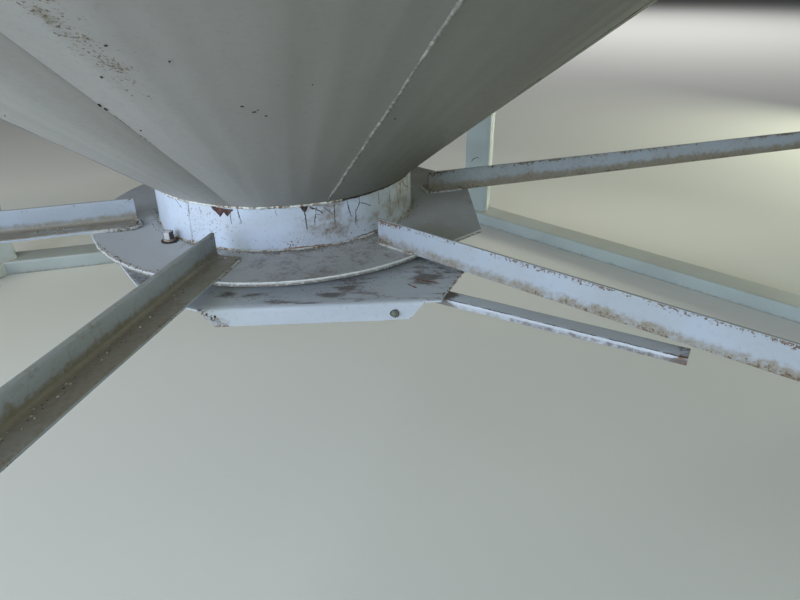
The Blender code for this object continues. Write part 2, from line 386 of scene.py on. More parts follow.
def hand_over(mesh: bpy.types.Mesh, finish: "Finish", nodes: Sequence[str],
              sharp_deg: float) -> None:
    """Turns a mesh's faces outward, dresses it, and gives it to the frame as a piece of its name.

    Args:
        mesh: The mesh, in place.
        finish: Its finish.
        nodes: Solids that it stands for.
        sharp_deg: Angle between faces from which an edge stays sharp.
    """
    shape = bmesh.new()
    shape.from_mesh(mesh)
    bmesh.ops.recalc_face_normals(shape, faces=shape.faces[:])
    shape.to_mesh(mesh)
    shape.free()
    mesh.materials.clear()
    mesh.materials.append(finish.material())
    mesh.shade_smooth()
    mesh.set_sharp_from_angle(angle=math.radians(sharp_deg))
    piece = bpy.data.objects.new(mesh.name, mesh)
    bpy.context.scene.collection.objects.link(piece)
    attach(piece, "root")
    if nodes:
        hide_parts(*nodes)
    LOG.info("%s: %d faces, stands for %s", piece.name, len(mesh.polygons), ", ".join(nodes) or "nothing")


# Faces that marks lie on

class Face(Protocol):
    """A surface with two coordinates and a lift along its normal."""

    def point(self, first: Array, second: Array, lift: Number) -> Array:
        """Point on the surface, lifted along its normal."""


@dataclass(frozen=True)
class ConeFace:
    """Outer face of the cone: azimuth and radius."""

    sizes: HopperSizes = SIZES

    def point(self, first: Array, second: Array, lift: Number) -> Array:
        """Point at an azimuth and radius, lifted outward and down."""
        height = self.sizes.cone_height(np.asarray(second)) - lift * math.cos(self.sizes.slope)
        return ring_point(np.asarray(second) + lift * math.sin(self.sizes.slope), first, height)


@dataclass(frozen=True)
class CollarFace:
    """Outer face of the collar: azimuth and height above the plate."""

    sizes: HopperSizes = SIZES

    @staticmethod
    def swell(azimuth_deg: Array, height: Array) -> Array:
        """How far the rolled collar stands off its true circle."""
        turn, up = np.radians(np.asarray(azimuth_deg, float)), np.asarray(height, float)
        return 0.00045 * drift(31, 1.4 * np.cos(turn), 1.4 * np.sin(turn), 8.0 * up, waves=5)

    def point(self, first: Array, second: Array, lift: Number) -> Array:
        """Point at an azimuth and height, lifted outward.

        Args:
            first: Azimuth.
            second: Height above the flange plate.
            lift: Distance along the outward normal.

        Returns:
            The point.
        """
        s = self.sizes
        share = np.clip(np.asarray(second) / s.collar_height, 0.0, 1.0)
        radius = s.collar_foot_radius + (s.collar_top_radius - s.collar_foot_radius) * share + lift
        return ring_point(radius + self.swell(first, second), first, s.plate_top + np.asarray(second))


@dataclass(frozen=True)
class RoundFace:
    """A level face: azimuth and radius."""

    height: float

    def point(self, first: Array, second: Array, lift: Number) -> Array:
        """Point at an azimuth and radius, lifted up."""
        return ring_point(second, first, self.height + lift)


@dataclass(frozen=True)
class FlatFace:
    """A level face: x and y in a turned frame."""

    height: float
    turned_deg: float

    def point(self, first: Array, second: Array, lift: Number) -> Array:
        """Point at x and y, lifted up."""
        return turned(first, second, self.height + lift, self.turned_deg)


@dataclass(frozen=True)
class UprightFace:
    """An upright face in a turned frame: x and depth under its top."""

    front: float
    top: float
    turned_deg: float

    def point(self, first: Array, second: Array, lift: Number) -> Array:
        """Point at x and a depth, lifted towards the front."""
        return turned(first, self.front - lift, self.top - np.asarray(second), self.turned_deg)


@dataclass
class Marks:
    """Thin cracks, chips and specks that stand a little proud of a face."""

    face: Face
    seed: int
    skin: Skin = field(default_factory=Skin)

    def __post_init__(self) -> None:
        """Starts the marks' own random numbers."""
        self.rng = np.random.default_rng(self.seed)

    def ribbon(self, path: Sequence[Pair], width: float, lift: float = 0.00022, ragged: float = 0.35) -> None:
        """A crack or run that follows a path and tapers at both ends.

        Args:
            path: The face's coordinates of its points.
            width: Widest width.
            lift: How far its middle stands proud.
            ragged: Share by which its width and line wander.
        """
        first, second = np.array(path, float).T
        ends = self.face.point(first, second, 0.0)
        run = np.concatenate([[0.0], np.cumsum(np.linalg.norm(np.diff(ends, axis=0), axis=1))])
        steps = max(6, int(run[-1] / max(width * 1.2, 0.0012)))
        at = np.linspace(0.0, run[-1], steps + 1)
        first, second = np.interp(at, run, first), np.interp(at, run, second)
        self.lifted_ribbon(first, second, np.zeros_like(at), width, lift, ragged)

    def lifted_ribbon(self, first: Array, second: Array, stand: Array, width: float, lift: float,
                      ragged: float = 0.35) -> None:
        """A ribbon through given points, each at its own distance from the face.

        Args:
            first: First coordinates.
            second: Second coordinates.
            stand: Distance of its middle line from the face.
            width: Widest width.
            lift: How far its middle stands proud.
            ragged: Share by which its width and line wander.
        """
        count = len(first)
        line = self.face.point(first, second, 0.0)
        normal = self.face.point(first, second, 1.0) - line
        line = line + normal * stand[:, None]
        side = np.cross(normal, np.gradient(line, axis=0))
        side /= np.linalg.norm(side, axis=1, keepdims=True)
        share = np.linspace(0.0, 1.0, count)
        taper = np.clip(np.minimum(share, 1.0 - share) * 7.0, 0.08, 1.0)
        half = side * (width / 2 * taper * (1.0 + ragged * self.rng.uniform(-1.0, 1.0, count)))[:, None]
        line = line + side * (self.rng.normal(0.0, 0.5 * ragged * width, (count, 1)) * taper[:, None])
        rise = normal * lift
        self.skin.bar(np.stack([line - half, line + rise, line + half, line - rise], axis=1))

    def blot(self, outline: Sequence[Pair], lift: float = 0.00025) -> None:
        """A flat chip or stain inside an outline that its middle sees whole.

        Args:
            outline: The face's coordinates round its edge.
            lift: How far it stands proud.
        """
        edge = np.array(outline, float)
        middle = edge.mean(axis=0)

        def rings(*steps: Pair) -> Array:
            """Point numbers of rings at shares of the outline, each at its own height."""
            spots = [(middle + (edge - middle) * share, height) for share, height in steps]
            rows = [self.face.point(ring[:, 0], ring[:, 1], height) for ring, height in spots]
            return self.skin.grid(np.array(rows), wrap_columns=True)

        over = rings((1.0, -0.00005), (0.93, lift), (0.6, lift), (0.3, lift), (0.02, lift))
        under = rings((1.0, -0.0004), (0.5, -0.0004), (0.02, -0.0004))
        self.skin.cap(over[-1], under[-1])
        self.skin.skirt(over[0], under[0], True)

    def speck(self, first: float, second: float, size: float, stretch: float = 1.0,
              lift: float = 0.0002) -> None:
        """A small irregular spot.

        Args:
            first: First coordinate of its middle.
            second: Second coordinate of its middle.
            size: Width along the first coordinate.
            stretch: Its length along the second coordinate as a share of the width.
            lift: How far it stands proud.
        """
        here = self.face.point(first, second, 0.0)
        wide = 1e-3 / np.linalg.norm(self.face.point(first + 1e-3, second, 0.0) - here)
        tall = 1e-6 / np.linalg.norm(self.face.point(first, second + 1e-6, 0.0) - here)
        turns = np.linspace(0.0, math.tau, 9, endpoint=False)
        reach = size / 2 * self.rng.uniform(0.65, 1.15, 9)
        self.blot([(first + wide * r * math.cos(t), second + tall * r * stretch * math.sin(t))
                   for r, t in zip(reach, turns)], lift)

    def give(self, name: str, finish: "Finish", slot: Slot) -> None:
        """Makes one piece of all the marks and hands it over."""
        self.skin.give(name, finish, slot, sharp_deg=60.0)


# Node trees

class Wire:
    """One output socket. Python's operators on it add Math nodes."""

    def __init__(self, net: "Net", socket: bpy.types.NodeSocket) -> None:
        """Wraps a socket of a net."""
        self.net = net
        self.socket = socket

    def maths(self, operation: str, *values: "Wire | float") -> "Wire":
        """Adds a Math node on the values."""
        return self.net.node("ShaderNodeMath", {"operation": operation}, dict(enumerate(values)))

    def __add__(self, other: "Wire | float") -> "Wire":
        """Sum."""
        return self.maths("ADD", self, other)

    __radd__ = __add__

    def __sub__(self, other: "Wire | float") -> "Wire":
        """Difference."""
        return self.maths("SUBTRACT", self, other)

    def __mul__(self, other: "Wire | float") -> "Wire":
        """Product."""
        return self.maths("MULTIPLY", self, other)

    def ease(self, low: float, high: float) -> "Wire":
        """Smooth step from 0 at low to 1 at high."""
        return self.net.node("ShaderNodeMapRange", {"interpolation_type": "SMOOTHSTEP"},
                             {"Value": self, "From Min": low, "From Max": high}, "Result")


class Net:
    """A node tree of a material or of geometry nodes."""

    def __init__(self, tree: bpy.types.NodeTree) -> None:
        """Wraps a tree."""
        self.tree = tree

    def node(self, kind: str, settings: Mapping[str, object] | None = None,
             inputs: Mapping[str | int, object] | None = None, out: str | int = 0) -> Wire:
        """Adds a node.

        Args:
            kind: The node's type.
            settings: Its settings, such as an operation, or the stops of a ramp.
            inputs: Values or links of its sockets, by name or number.
            out: Output that is wanted, by name or number.

        Returns:
            That output.
        """
        made = self.tree.nodes.new(kind)
        for key, value in (settings or {}).items():
            if key == "stops":
                ramp = made.color_ramp.elements
                while len(ramp) < len(value):
                    ramp.new(0.5)
                for stop, (position, colour) in zip(ramp, value):
                    stop.position = position
                    stop.color = (*colour, 1.0)
            else:
                setattr(made, key, value)
        for key, value in (inputs or {}).items():
            if isinstance(value, Wire):
                self.tree.links.new(value.socket, made.inputs[key])
            else:
                made.inputs[key].default_value = value
        return Wire(self, made.outputs[out] if made.outputs else None)

    def noise(self, place: Wire, scale: float, detail: float = 3.0, rough: float = 0.55) -> Wire:
        """Noise between 0 and 1 at a place."""
        return self.node("ShaderNodeTexNoise", None,
                         {"Vector": place, "Scale": scale, "Detail": detail, "Roughness": rough}, 0)

    def blend(self, share: Wire | float, first: Wire | Colour, second: Wire | Colour) -> Wire:
        """Mix of two colours."""
        first = first if isinstance(first, Wire) else (*first, 1.0)
        second = second if isinstance(second, Wire) else (*second, 1.0)
        return self.node("ShaderNodeMix", {"data_type": "RGBA"}, {0: share, 6: first, 7: second}, 2)

    def mask(self, name: str) -> Wire:
        """A mask that the mesh carries."""
        return self.node("ShaderNodeAttribute", {"attribute_name": name}, None, "Fac")

    def up(self) -> Wire:
        """How far the surface looks up, from -1 to 1."""
        normal = self.node("ShaderNodeNewGeometry", None, None, "Normal")
        return self.node("ShaderNodeSeparateXYZ", None, {0: normal}, "Z")

    def stretched(self, place: Wire, scale: Colour, turned_deg: float = 0.0) -> Wire:
        """Places in a frame turned about the upright axis, with features as long as the scale's parts."""
        return self.node("ShaderNodeMapping", {"vector_type": "TEXTURE"}, {
            "Vector": place, "Scale": scale, "Rotation": (0.0, 0.0, math.radians(turned_deg))})

    def vector(self, operation: str, first: Wire, second: Wire | Colour | float | None = None) -> Wire:
        """A Vector Math node, whose second value is a vector, or a number for SCALE."""
        inputs = {0: first} if second is None else {0: first, "Scale" if operation == "SCALE" else 1: second}
        return self.node("ShaderNodeVectorMath", {"operation": operation}, inputs)

    def rays(self, place: Wire, across: float, along: float) -> Wire:
        """Places that run out from the axis in rays, for streaks on the cone."""
        way = self.vector("NORMALIZE", self.vector("MULTIPLY", place, (1.0, 1.0, 0.0)))
        height = self.vector("MULTIPLY", place, (0.0, 0.0, along))
        return self.vector("ADD", self.vector("SCALE", way, across), height)


class Finish:
    """A finish makes its material once and gives it to each piece that wears it."""

    name: str

    def material(self) -> bpy.types.Material:
        """The finish's material, made at the first call."""
        found = bpy.data.materials.get(self.name)
        if found:
            return found
        made = bpy.data.materials.new(self.name)
        made.use_nodes = True
        made.node_tree.nodes.clear()
        self.dress(Net(made.node_tree))
        return made

    def dress(self, net: Net) -> None:
        """Adds the finish's nodes."""
        raise NotImplementedError

    @staticmethod
    def close(net: Net, colour: Wire, roughness: Wire | float, height: Wire, strength: float, distance: float,
              metallic: float = 0.0, specular: float = 0.5) -> None:
        """Adds the bump, the shader and the output.

        Args:
            net: The material's net.
            colour: Base colour.
            roughness: Roughness.
            height: What the bump follows.
            strength: Strength of the bump.
            distance: Height of the bump.
            metallic: Metallic share.
            specular: Specular level.
        """
        bump = net.node("ShaderNodeBump", None, {
            "Strength": strength, "Distance": distance, "Height": height})
        shader = net.node("ShaderNodeBsdfPrincipled", None, {
            "Base Color": colour, "Roughness": roughness, "Metallic": metallic,
            "Specular IOR Level": specular, "Normal": bump})
        net.node("ShaderNodeOutputMaterial", None, {"Surface": shader})


class Streaks(Enum):
    """How the broad tone of a paint runs."""

    CLOUDS = "clouds"
    RAYS = "rays"


@dataclass(frozen=True)
class AgedPaint(Finish):
    """Old paint on steel: fading, dust on top, dirt, rust and stains, and shade painted in through a mask."""

    name: str
    paint: Colour
    faded: Colour
    # The dirt colour is also the colour that painted shade darkens to.
    dirt: Colour
    rust: Colour
    dust: Colour
    dusting: float = 0.0
    streaks: Streaks = Streaks.CLOUDS
    mottle: float = 14.0
    freckles: float = 0.0
    roughness: float = 0.5
    grain: float = 0.3
    lay: Colour = (1.0, 1.0, 1.0)
    lay_deg: float = 0.0
    bits: float = 0.0

    def dress(self, net: Net) -> None:
        """Adds the nodes of the paint.

        Args:
            net: The material's net.
        """
        place = net.node("ShaderNodeTexCoord", None, None, "Object")
        fine = net.noise(place, 170.0, 4.0, 0.6)
        speck = net.noise(place, 620.0, 2.0, 0.5)
        lain = net.stretched(place, self.lay, self.lay_deg)
        cloud = net.noise(lain, self.mottle, 4.0, 0.55)
        if self.streaks is Streaks.RAYS:
            ray = net.noise(net.rays(place, 9.0, 0.5), 1.0, 3.0, 0.5)
            thin = net.noise(net.rays(place, 60.0, 2.0), 1.0, 2.0, 0.5)
            tone = (ray * 0.45 + thin * 0.08 + cloud * 0.47).ease(0.34, 0.66)
        else:
            tone = cloud.ease(0.34, 0.66)
        colour = net.blend(tone, self.paint, self.faded)
        colour = net.blend(fine.ease(0.5, 0.8) * 0.16, colour, self.dirt)
        loose = net.noise(lain, 46.0, 5.0, 0.65)
        dust = net.up().ease(0.35, 0.95) * (loose * 1.5 + cloud * 0.7 - 0.55).ease(0.0, 0.75) * self.dusting
        colour = net.blend(dust, colour, self.dust)
        # Painted shade: the shading mask takes the colour towards the dirt colour, where less light falls.
        colour = net.blend(net.mask("tint"), colour, self.dirt)
        grime = (net.mask("grime") + (fine - 0.5) * 0.7 + (loose - 0.5) * 0.8).ease(0.3, 0.85)
        colour = net.blend(grime * 0.9, colour, self.dirt)
        stain = net.mask("stain") + (loose - 0.5) * 1.1 + (cloud - 0.5) * 0.6 + (fine - 0.5) * 0.5
        brown = tuple(0.6 * d + 0.4 * r for d, r in zip(self.dirt, self.rust))
        soaked = net.blend(fine.ease(0.4, 0.65), self.dirt, brown)
        colour = net.blend(stain.ease(0.38, 0.75) * 0.8, colour, soaked)
        spots = net.noise(place, 330.0, 3.0, 0.6)
        if self.bits:
            pale = (net.mask("grime") * self.bits + (spots - 0.5) * 2.0 - 0.1).ease(0.42, 0.55)
            colour = net.blend(pale * 0.75, colour, tuple(min(0.6, 2.6 * c + 0.14) for c in self.dirt))
        bare = (net.mask("wear") + (spots - 0.5) * 1.9 + (loose - 0.5) * 0.9 + self.freckles).ease(0.54, 0.68)
        crust = net.blend(speck.ease(0.4, 0.62), self.rust, tuple(c * 0.45 for c in self.rust))
        colour = net.blend(bare, colour, crust)
        rough = self.roughness + dust * 0.3 + bare * 0.3 + (fine - 0.5) * 0.18
        height = fine * 0.45 + speck * 0.25 + bare * 0.6 + dust * 0.4
        self.close(net, colour, rough, height, self.grain, 0.0008)


@dataclass(frozen=True)
class Crust(Finish):
    """Mottled stuff in three tones: weld, rust, dirt, sealer or a crack's shadow."""

    name: str
    dark: Colour
    middle: Colour
    light: Colour
    scale: float = 300.0
    balance: float = 0.5
    roughness: float = 0.75
    metallic: float = 0.0
    grain: float = 0.5

    def dress(self, net: Net) -> None:
        """Adds the nodes of the crust.

        Args:
            net: The material's net.
        """
        place = net.node("ShaderNodeTexCoord", None, None, "Object")
        blotch = net.noise(place, self.scale, 4.0, 0.6)
        broad = net.noise(place, self.scale * 0.16, 3.0, 0.5)
        speck = net.noise(place, self.scale * 2.7, 2.0, 0.5)
        level = blotch * 0.6 + broad * 0.4
        low, high = self.balance - 0.09, self.balance + 0.09
        colour = net.blend(level.ease(low, self.balance + 0.02), self.dark, self.middle)
        colour = net.blend(level.ease(self.balance, high), colour, self.light)
        colour = net.blend(speck.ease(0.56, 0.72) * 0.5, colour, self.dark)
        rough = self.roughness + (blotch - 0.5) * 0.2
        self.close(net, colour, rough, blotch + speck * 0.4, self.grain, 0.0006, self.metallic)


@dataclass(frozen=True)
class StudioFloor(Finish):
    """Plain pale floor."""

    name: str = "studio_floor"
    tone: float = 0.70

    def dress(self, net: Net) -> None:
        """Adds the nodes of the floor.

        Args:
            net: The material's net.
        """
        place = net.node("ShaderNodeTexCoord", None, None, "Object")
        cloud = net.noise(place, 0.8, 2.0)
        pale = (self.tone, self.tone, self.tone * 0.985)
        colour = net.blend(cloud * 0.2, pale, tuple(c * 0.96 for c in pale))
        self.close(net, colour, 0.9, cloud, 0.02, 0.001, specular=0.1)


# Each paint's dirt colour is also what its painted shade darkens to, on the cone's sheets, the plate's top,
# the nut and the arm.
CONE_PAINT = AgedPaint(
    "cone_weathered_paint", (0.305, 0.291, 0.274), (0.345, 0.333, 0.320), (0.112, 0.112, 0.084),
    (0.20, 0.16, 0.105), (0.30, 0.29, 0.25), 0.7, Streaks.RAYS, 5.0, -0.16, 0.46, 0.16)
COLLAR_PAINT = AgedPaint(
    "collar_white_paint", (0.475, 0.53, 0.645), (0.43, 0.465, 0.54), (0.22, 0.205, 0.175),
    (0.22, 0.125, 0.075), (0.36, 0.35, 0.33), 0.6, Streaks.CLOUDS, 17.0, -0.10, 0.42, 0.25)
PLATE_PAINT = AgedPaint(
    "plate_dusty_paint", (0.45, 0.475, 0.51), (0.40, 0.415, 0.435), (0.17, 0.155, 0.135), (0.19, 0.115, 0.07),
    (0.40, 0.405, 0.425), 0.95, Streaks.CLOUDS, 7.0, -0.15, 0.6, 0.35, bits=0.5)
PAN_PAINT = AgedPaint(
    "pan_dusty_paint", (0.46, 0.49, 0.555), (0.41, 0.435, 0.49), (0.065, 0.06, 0.057), (0.24, 0.135, 0.08),
    (0.40, 0.425, 0.455), 0.9, Streaks.CLOUDS, 8.0, -0.13, 0.58, 0.35, (1.9, 0.5, 1.0), -13.5)
BRACE_PAINT = AgedPaint(
    "brace_chalky_paint", (0.320, 0.358, 0.425), (0.300, 0.328, 0.368), (0.205, 0.185, 0.150),
    (0.170, 0.122, 0.085), (0.31, 0.31, 0.285), 0.7, Streaks.CLOUDS, 9.0, -0.06, 0.52, 0.35)
LEG_PAINT = AgedPaint(
    "leg_chalky_paint", (0.37, 0.42, 0.435), (0.33, 0.37, 0.385), (0.20, 0.19, 0.17), (0.26, 0.15, 0.08),
    (0.42, 0.41, 0.37), 0.5, Streaks.CLOUDS, 6.0, -0.14, 0.5, 0.25)
RIM_PAINT = AgedPaint(
    "rim_weathered_paint", (0.36, 0.375, 0.38), (0.41, 0.42, 0.42), (0.17, 0.16, 0.14), (0.22, 0.12, 0.06),
    (0.34, 0.33, 0.30), 0.6, Streaks.CLOUDS, 5.0, -0.12, 0.5, 0.25)
# The nut's near-black dirt colour is mostly painted shade, for its flanks turned from the light.
NUT_PAINT = AgedPaint(
    "nut_dull_zinc", (0.44, 0.42, 0.44), (0.36, 0.34, 0.35), (0.035, 0.030, 0.028), (0.10, 0.06, 0.04),
    (0.40, 0.41, 0.40), 0.4, Streaks.CLOUDS, 60.0, -0.25, 0.42, 0.25)
SEAM_WELD = Crust("painted_seam_weld", (0.125, 0.115, 0.095), (0.215, 0.20, 0.175), (0.30, 0.285, 0.255),
                  190.0, 0.50, 0.6)
# Pale paint runs on the lapped seams, which also stand for a painted highlight along the lap's lit edge.
LAP_PAINT_HIGHLIGHT = Crust("lap_paint_run_highlight", (0.22, 0.20, 0.18), (0.33, 0.315, 0.30), (0.42, 0.405, 0.39), 190.0,
                  0.45, 0.6)
CRACKLE = Crust("collar_paint_crackle", (0.20, 0.185, 0.18), (0.30, 0.31, 0.345), (0.38, 0.40, 0.46), 300.0,
                0.5, 0.6)
# Pale bead along the plate's front edge: worn paint, and a painted highlight where the rounded edge catches
# the light.
EDGE_PAINT_HIGHLIGHT = Crust("worn_white_edge_highlight", (0.38, 0.36, 0.335), (0.57, 0.56, 0.54), (0.67, 0.665, 0.65), 150.0,
                   0.42, 0.6)
SEALER = Crust("ragged_white_sealer", (0.14, 0.08, 0.05), (0.47, 0.45, 0.40), (0.68, 0.67, 0.64), 240.0,
               0.48, 0.6)
RUST = Crust("flaking_rust", (0.045, 0.024, 0.016), (0.15, 0.075, 0.04), (0.30, 0.17, 0.095), 420.0, 0.5, 0.9)
OXIDE = Crust("red_oxide_chip", (0.030, 0.013, 0.011), (0.080, 0.030, 0.024), (0.13, 0.055, 0.043), 500.0,
              0.52, 0.8)
CRACK = Crust("crack_shadow", (0.022, 0.018, 0.015), (0.05, 0.038, 0.03), (0.10, 0.07, 0.05), 380.0,
              0.52, 0.9)
# Black for open gaps and holes: painted shade where an opening shows dark.
GAP_SHADE = Crust("open_gap_painted_shade", (0.006, 0.005, 0.004), (0.012, 0.010, 0.008), (0.030, 0.024, 0.020),
                  380.0, 0.6, 0.95)
DIRT = Crust("packed_dirt", (0.045, 0.035, 0.026), (0.10, 0.085, 0.065), (0.20, 0.18, 0.145), 360.0,
             0.5, 0.95)
PALE_CRUMB = Crust("pale_crumbs", (0.24, 0.22, 0.18), (0.40, 0.38, 0.33), (0.55, 0.53, 0.48), 300.0, 0.5, 0.9)
GREY_WELD = Crust("painted_fillet_weld", (0.17, 0.12, 0.08), (0.30, 0.30, 0.28), (0.42, 0.43, 0.43), 260.0,
                  0.47, 0.6)
END_WELD = Crust("brace_end_weld", (0.12, 0.10, 0.08), (0.30, 0.29, 0.275), (0.43, 0.42, 0.41), 200.0,
                 0.48, 0.6)
FOOT_WELD = Crust("collar_foot_weld_paint", (0.16, 0.095, 0.055), (0.36, 0.34, 0.31), (0.52, 0.53, 0.54),
                  240.0, 0.50, 0.6)
BOLT_GREEN = Crust("greened_bolt_zinc", (0.035, 0.040, 0.032), (0.075, 0.085, 0.068), (0.15, 0.165, 0.135),
                   260.0, 0.48, 0.55, 0.2, 0.2)
LOCK_STEEL = Crust("beige_lock_washer", (0.09, 0.06, 0.045), (0.24, 0.19, 0.15), (0.38, 0.32, 0.26), 300.0,
                   0.50, 0.6)
WASHER_RUST = Crust("dark_washer_rust", (0.018, 0.011, 0.010), (0.045, 0.026, 0.022), (0.085, 0.050, 0.040),
                    420.0, 0.5, 0.9)


# Geometry-node trees

class Grower:
    """Geometry-node trees that grow welds and crumbs on carriers."""

    def __init__(self) -> None:
        """Builds both trees."""
        self.bead_tree = self._bead()
        self.crumb_tree = self._crumbs()

    @staticmethod
    def _tree(name: str, inputs: Mapping[str, str]) -> tuple[Net, dict[str, Wire]]:
        """New tree with named inputs and one geometry output.

        Args:
            name: The tree's name.
            inputs: Socket type of each input by its name.

        Returns:
            The net and its inputs by name.
        """
        tree = bpy.data.node_groups.new(name, "GeometryNodeTree")
        for label, kind in inputs.items():
            tree.interface.new_socket(name=label, in_out="INPUT", socket_type="NodeSocket" + kind)
        tree.interface.new_socket(name="Geometry", in_out="OUTPUT", socket_type="NodeSocketGeometry")
        net = Net(tree)
        entry = tree.nodes.new("NodeGroupInput")
        return net, {label: Wire(net, entry.outputs[label]) for label in inputs}

    @staticmethod
    def _finish(net: Net, shape: Wire, material: Wire) -> bpy.types.NodeTree:
        """Ends a tree with Realize Instances and Set Material."""
        real = net.node("GeometryNodeRealizeInstances", None, {0: shape})
        dressed = net.node("GeometryNodeSetMaterial", None, {"Geometry": real, "Material": material})
        net.node("NodeGroupOutput", None, {0: dressed})
        return net.tree

    def _bead(self) -> bpy.types.NodeTree:
        """Tree that turns lines into rippled weld beads."""
        net, given = self._tree("weld_bead", {
            "Lines": "Geometry", "Radius": "Float", "Pitch": "Float", "Ripple": "Float",
            "Raggedness": "Float", "Grain": "Float", "Seed": "Float", "Sides": "Int", "Material": "Material"})
        curve = net.node("GeometryNodeMeshToCurve", None, {"Mesh": given["Lines"]})
        curve = net.node("GeometryNodeResampleCurve", {"mode": "LENGTH"},
                         {"Curve": curve, "Length": given["Pitch"]})

        def lumps(seed: Wire, grain: Wire, out: int) -> Wire:
            """Noise at a point of the bead."""
            place = net.node("GeometryNodeInputPosition")
            return net.node("ShaderNodeTexNoise", {"noise_dimensions": "4D"},
                            {"Vector": place, "W": seed, "Scale": grain, "Detail": 2.0}, out)

        swell = lumps(given["Seed"], given["Grain"], 0)
        ring = net.node("GeometryNodeCurvePrimitiveCircle", None,
                        {"Resolution": given["Sides"], "Radius": 1.0})
        bead = net.node("GeometryNodeCurveToMesh", None, {
            "Curve": curve, "Profile Curve": ring, "Fill Caps": True,
            "Scale": given["Radius"] * (1.0 + (swell - 0.5) * given["Ripple"] * 2.0)})
        shake = net.vector("SUBTRACT", lumps(given["Seed"] + 7.0, given["Grain"] * 1.7, 1), (0.5, 0.5, 0.5))
        offset = net.vector("SCALE", shake, given["Raggedness"])
        bead = net.node("GeometryNodeSetPosition", None, {"Geometry": bead, "Offset": offset})
        return self._finish(net, bead, given["Material"])

    def _crumbs(self) -> bpy.types.NodeTree:
        """Tree that strews small flat crumbs over a carrier's faces."""
        net, given = self._tree("strewn_crumbs", {
            "Carrier": "Geometry", "Density": "Float", "Size": "Float", "Seed": "Int",
            "Material": "Material"})
        points = net.node("GeometryNodeDistributePointsOnFaces", None, {
            "Mesh": given["Carrier"], "Density": given["Density"], "Seed": given["Seed"]}, "Points")
        ball = net.node("GeometryNodeMeshIcoSphere", None, {"Radius": 1.0, "Subdivisions": 1}, "Mesh")

        def chance(low: Colour, high: Colour) -> Wire:
            """A random vector between two for each crumb."""
            return net.node("FunctionNodeRandomValue", {"data_type": "FLOAT_VECTOR"},
                            {"Min": low, "Max": high, "Seed": given["Seed"]})

        turn = chance((-0.4, -0.4, 0.0), (0.4, 0.4, 6.28))
        scale = net.vector("SCALE", chance((0.3, 0.3, 0.15), (1.0, 1.0, 0.5)), given["Size"])
        strewn = net.node("GeometryNodeInstanceOnPoints", None,
                          {"Points": points, "Instance": ball, "Rotation": turn, "Scale": scale})
        return self._finish(net, strewn, given["Material"])

    @staticmethod
    def _grow(carrier: bpy.types.Mesh, tree: bpy.types.NodeTree, name: str, finish: Finish, slot: Slot,
              values: Mapping[str, object]) -> None:
        """Runs a tree on a carrier and hands the plain mesh over.

        Args:
            carrier: Mesh that the tree starts from.
            tree: The tree.
            name: Name of the piece.
            finish: Its finish.
            slot: Its material slot; not used.
            values: The tree's inputs by name.
        """
        holder = bpy.data.objects.new(name + "_carrier", carrier)
        bpy.context.scene.collection.objects.link(holder)
        modifier = holder.modifiers.new("grow", "NODES")
        modifier.node_group = tree
        given = {**values, "Material": finish.material()}
        for socket in tree.interface.items_tree:
            if socket.in_out == "INPUT" and socket.name in given:
                modifier[socket.identifier] = given[socket.name]
        mesh = bpy.data.meshes.new_from_object(holder.evaluated_get(bpy.context.evaluated_depsgraph_get()))
        mesh.name = name
        bpy.data.objects.remove(holder)
        bpy.data.meshes.remove(carrier)
        hand_over(mesh, finish, (), 60.0)

    def beads(self, name: str, finish: Finish, slot: Slot, lines: Sequence[Array], radius: float,
              pitch: float, ripple: float, raggedness: float, grain: float, seed: int, sides: int = 8,
              closed: bool = False) -> None:
        """Weld beads along lines.

        Args:
            name: Name of the piece.
            finish: Its finish.
            slot: Its material slot.
            lines: One array of points for each run.
            radius: The bead's radius.
            pitch: Distance between its rings.
            ripple: Share by which its radius changes.
            raggedness: How far its skin wanders.
            grain: Scale of the lumps.
            seed: Number that picks the lumps.
            sides: Sides of its round section.
            closed: Whether each run closes on itself.
        """
        edges: list[tuple[int, int]] = []
        start = 0
        for line in lines:
            last = start + len(line) - 1
            edges += [(k, k + 1) for k in range(start, last)] + ([(last, start)] if closed else [])
            start = last + 1
        carrier = bpy.data.meshes.new(name + "_lines")
        carrier.from_pydata(np.concatenate(lines).tolist(), edges, [])
        self._grow(carrier, self.bead_tree, name, finish, slot, {
            "Radius": radius, "Pitch": pitch, "Ripple": ripple, "Raggedness": raggedness, "Grain": grain,
            "Seed": float(seed), "Sides": sides})

    def crumbs(self, name: str, finish: Finish, slot: Slot, patches: Sequence[Array], density: float,
               size: float, seed: int) -> None:
        """Crumbs strewn over patches.

        Args:
            name: Name of the piece.
            finish: Its finish.
            slot: Its material slot.
            patches: Lattices of points that the crumbs lie on.
            density: Crumbs per square metre.
            size: Largest half width of a crumb.
            seed: Number that picks their places.
        """
        skin = Skin()
        for patch in patches:
            skin.grid(patch)
        carrier = bpy.data.meshes.new(name + "_patches")
        carrier.from_pydata(np.concatenate(skin.points).tolist(), [], skin.faces)
        self._grow(carrier, self.crumb_tree, name, finish, slot, {
            "Density": density, "Size": size, "Seed": seed})


@dataclass
class SubAssembly:
    """A sub-assembly: it has the shared sizes and grows its welds and crumbs."""

    sizes: HopperSizes
    grower: Grower

    def build(self) -> None:
        """Builds and dresses the sub-assembly."""
        raise NotImplementedError


# Cone

class SeamStyle(Enum):
    """How two gores meet."""

    LAP = "lap"
    BEAD = "bead"


